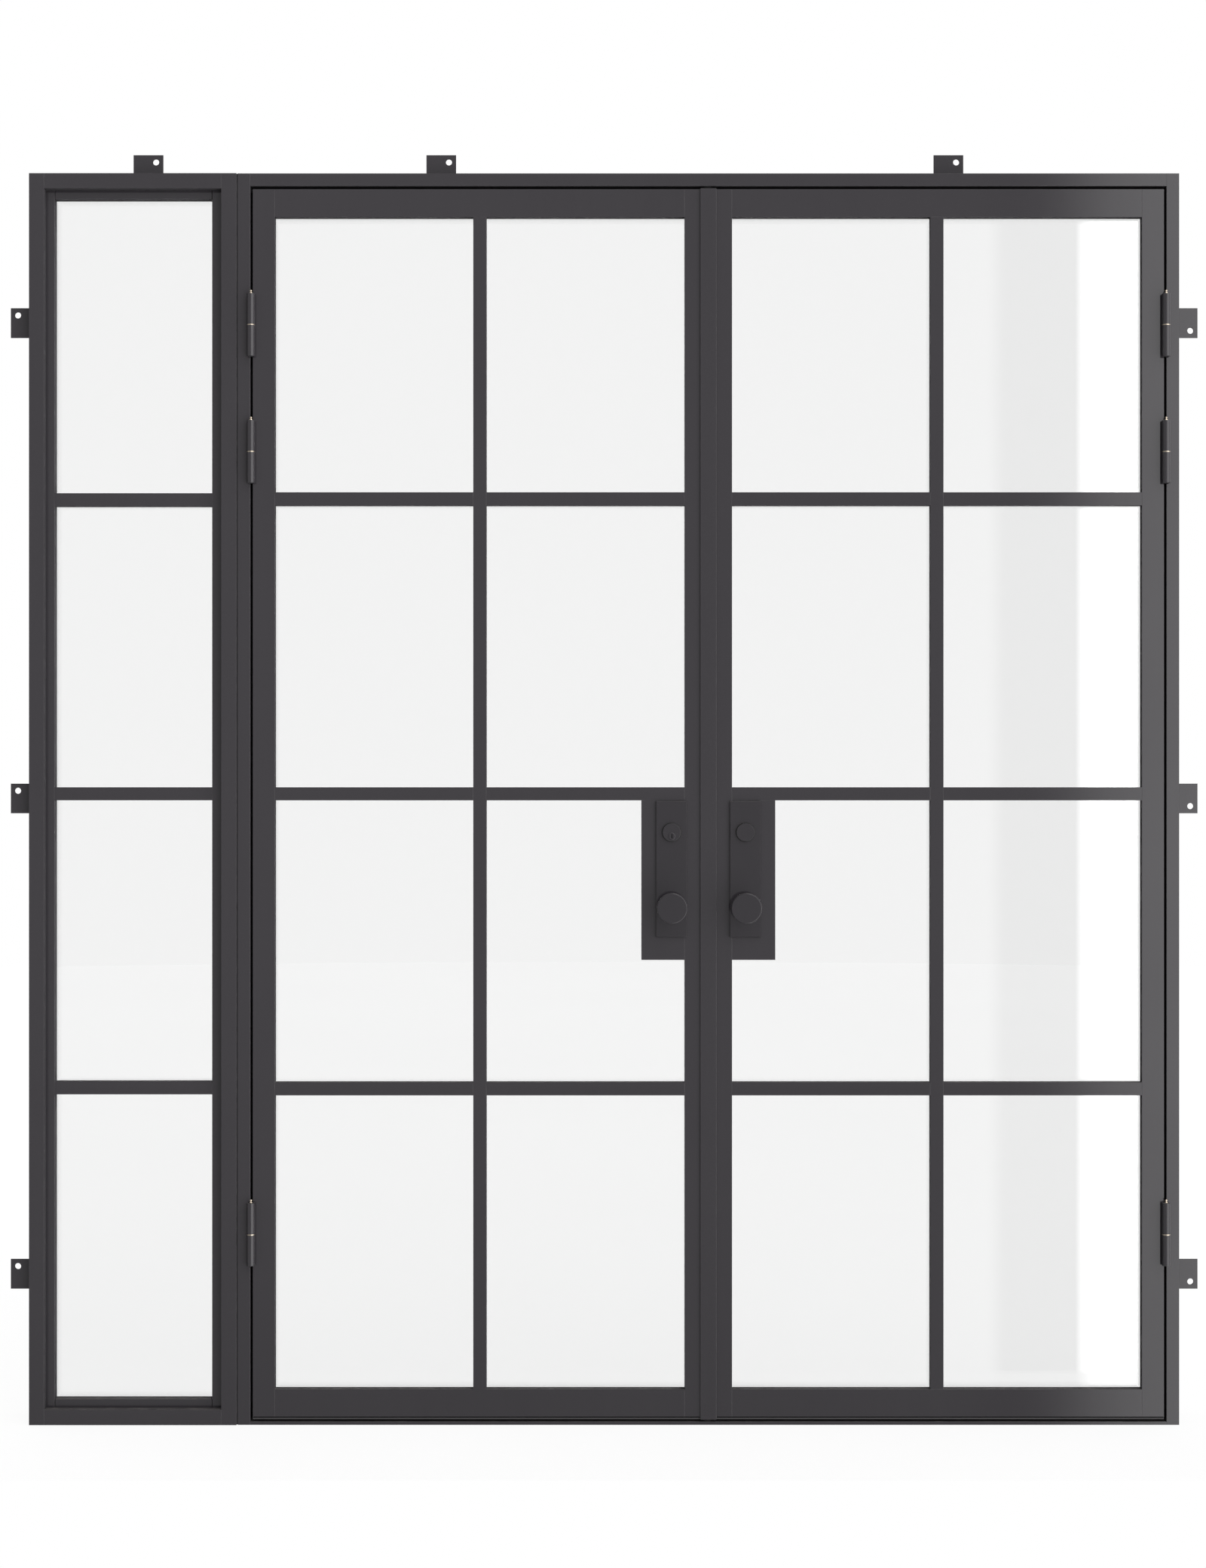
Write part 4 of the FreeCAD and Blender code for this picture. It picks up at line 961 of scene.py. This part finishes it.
GAP_START = 0.1415
LIGHT_START = 0.173
LIGHT_END = 3.2
LIGHT_FADE = 1.5
EDGE_BLUR = 0.003
GAP_LEVEL = 0.46
LIGHT_BOOST = 3.7
LOW_DIM_SLOPE = -0.22
LOW_DIM = 0.05
BACK_LIGHT_START = 0.5
BACK_LIGHT_FADE = 0.5
BACK_LIGHT = 1.6
LEAST_REACH = 0.02


def studio_surroundings():
    """White to the camera, also through glass; reflections and soft light see lights as well.

    On the front right stand a narrow dim gap and beside it a large soft light, and below the
    horizon the front is slightly dimmer. Behind, a soft light stands on either side.
    """
    world = bpy.data.worlds.new("pale_studio")
    bpy.context.scene.world = world
    world.use_nodes = True
    tree = world.node_tree
    towards = add(tree, "ShaderNodeTexCoord")
    split = add(tree, "ShaderNodeSeparateXYZ")
    tree.links.new(towards.outputs["Generated"], split.inputs[0])
    forward = maths(tree, "MULTIPLY", split.outputs["Y"], -1.0)
    ahead = maths(tree, "MAXIMUM", forward, LEAST_REACH)
    slope = maths(tree, "DIVIDE", split.outputs["X"], ahead)
    past_gap_start = spread(tree, slope, GAP_START - EDGE_BLUR, GAP_START + EDGE_BLUR)
    past_light_start = spread(tree, slope, LIGHT_START - EDGE_BLUR, LIGHT_START + EDGE_BLUR)
    before_light_end = spread(tree, slope, LIGHT_END, LIGHT_END + LIGHT_FADE, 1.0, 0.0)
    in_gap = maths(tree, "SUBTRACT", past_gap_start, past_light_start)
    in_light = maths(tree, "MULTIPLY", past_light_start, before_light_end)
    front = spread(tree, split.outputs["Y"], -0.2, 0.0, 1.0, 0.0)
    drop = maths(tree, "DIVIDE", split.outputs["Z"], ahead)
    below = spread(tree, drop, LOW_DIM_SLOPE, 0.0, LOW_DIM, 0.0)
    dimmed = maths(tree, "MULTIPLY", in_gap, GAP_LEVEL - 1.0)
    lit = maths(tree, "MULTIPLY", in_light, LIGHT_BOOST)
    change = maths(tree, "SUBTRACT", maths(tree, "ADD", dimmed, lit), below)
    change = maths(tree, "MULTIPLY", change, front)
    beyond = maths(tree, "MAXIMUM", split.outputs["Y"], LEAST_REACH)
    aside = maths(tree, "DIVIDE", maths(tree, "ABSOLUTE", split.outputs["X"]), beyond)
    full_light = BACK_LIGHT_START + BACK_LIGHT_FADE
    back_light = spread(tree, aside, BACK_LIGHT_START, full_light, 0.0, BACK_LIGHT)
    back = spread(tree, split.outputs["Y"], 0.1, 0.3)
    change = maths(tree, "ADD", change, maths(tree, "MULTIPLY", back_light, back))
    path = add(tree, "ShaderNodeLightPath")
    bounces = maths(tree, "SUBTRACT", path.outputs["Ray Depth"], path.outputs["Transmission Depth"])
    straight = maths(tree, "MAXIMUM", path.outputs["Is Camera Ray"], path.outputs["Is Transmission Ray"])
    change = maths(tree, "MULTIPLY", change, maths(tree, "SUBTRACT", bounces, straight, clamp=True))
    background = tree.nodes["Background"]
    tree.links.new(maths(tree, "ADD", change, 1.0), background.inputs["Color"])
    background.inputs["Strength"].default_value = 1.0


pale_floor()
studio_surroundings()
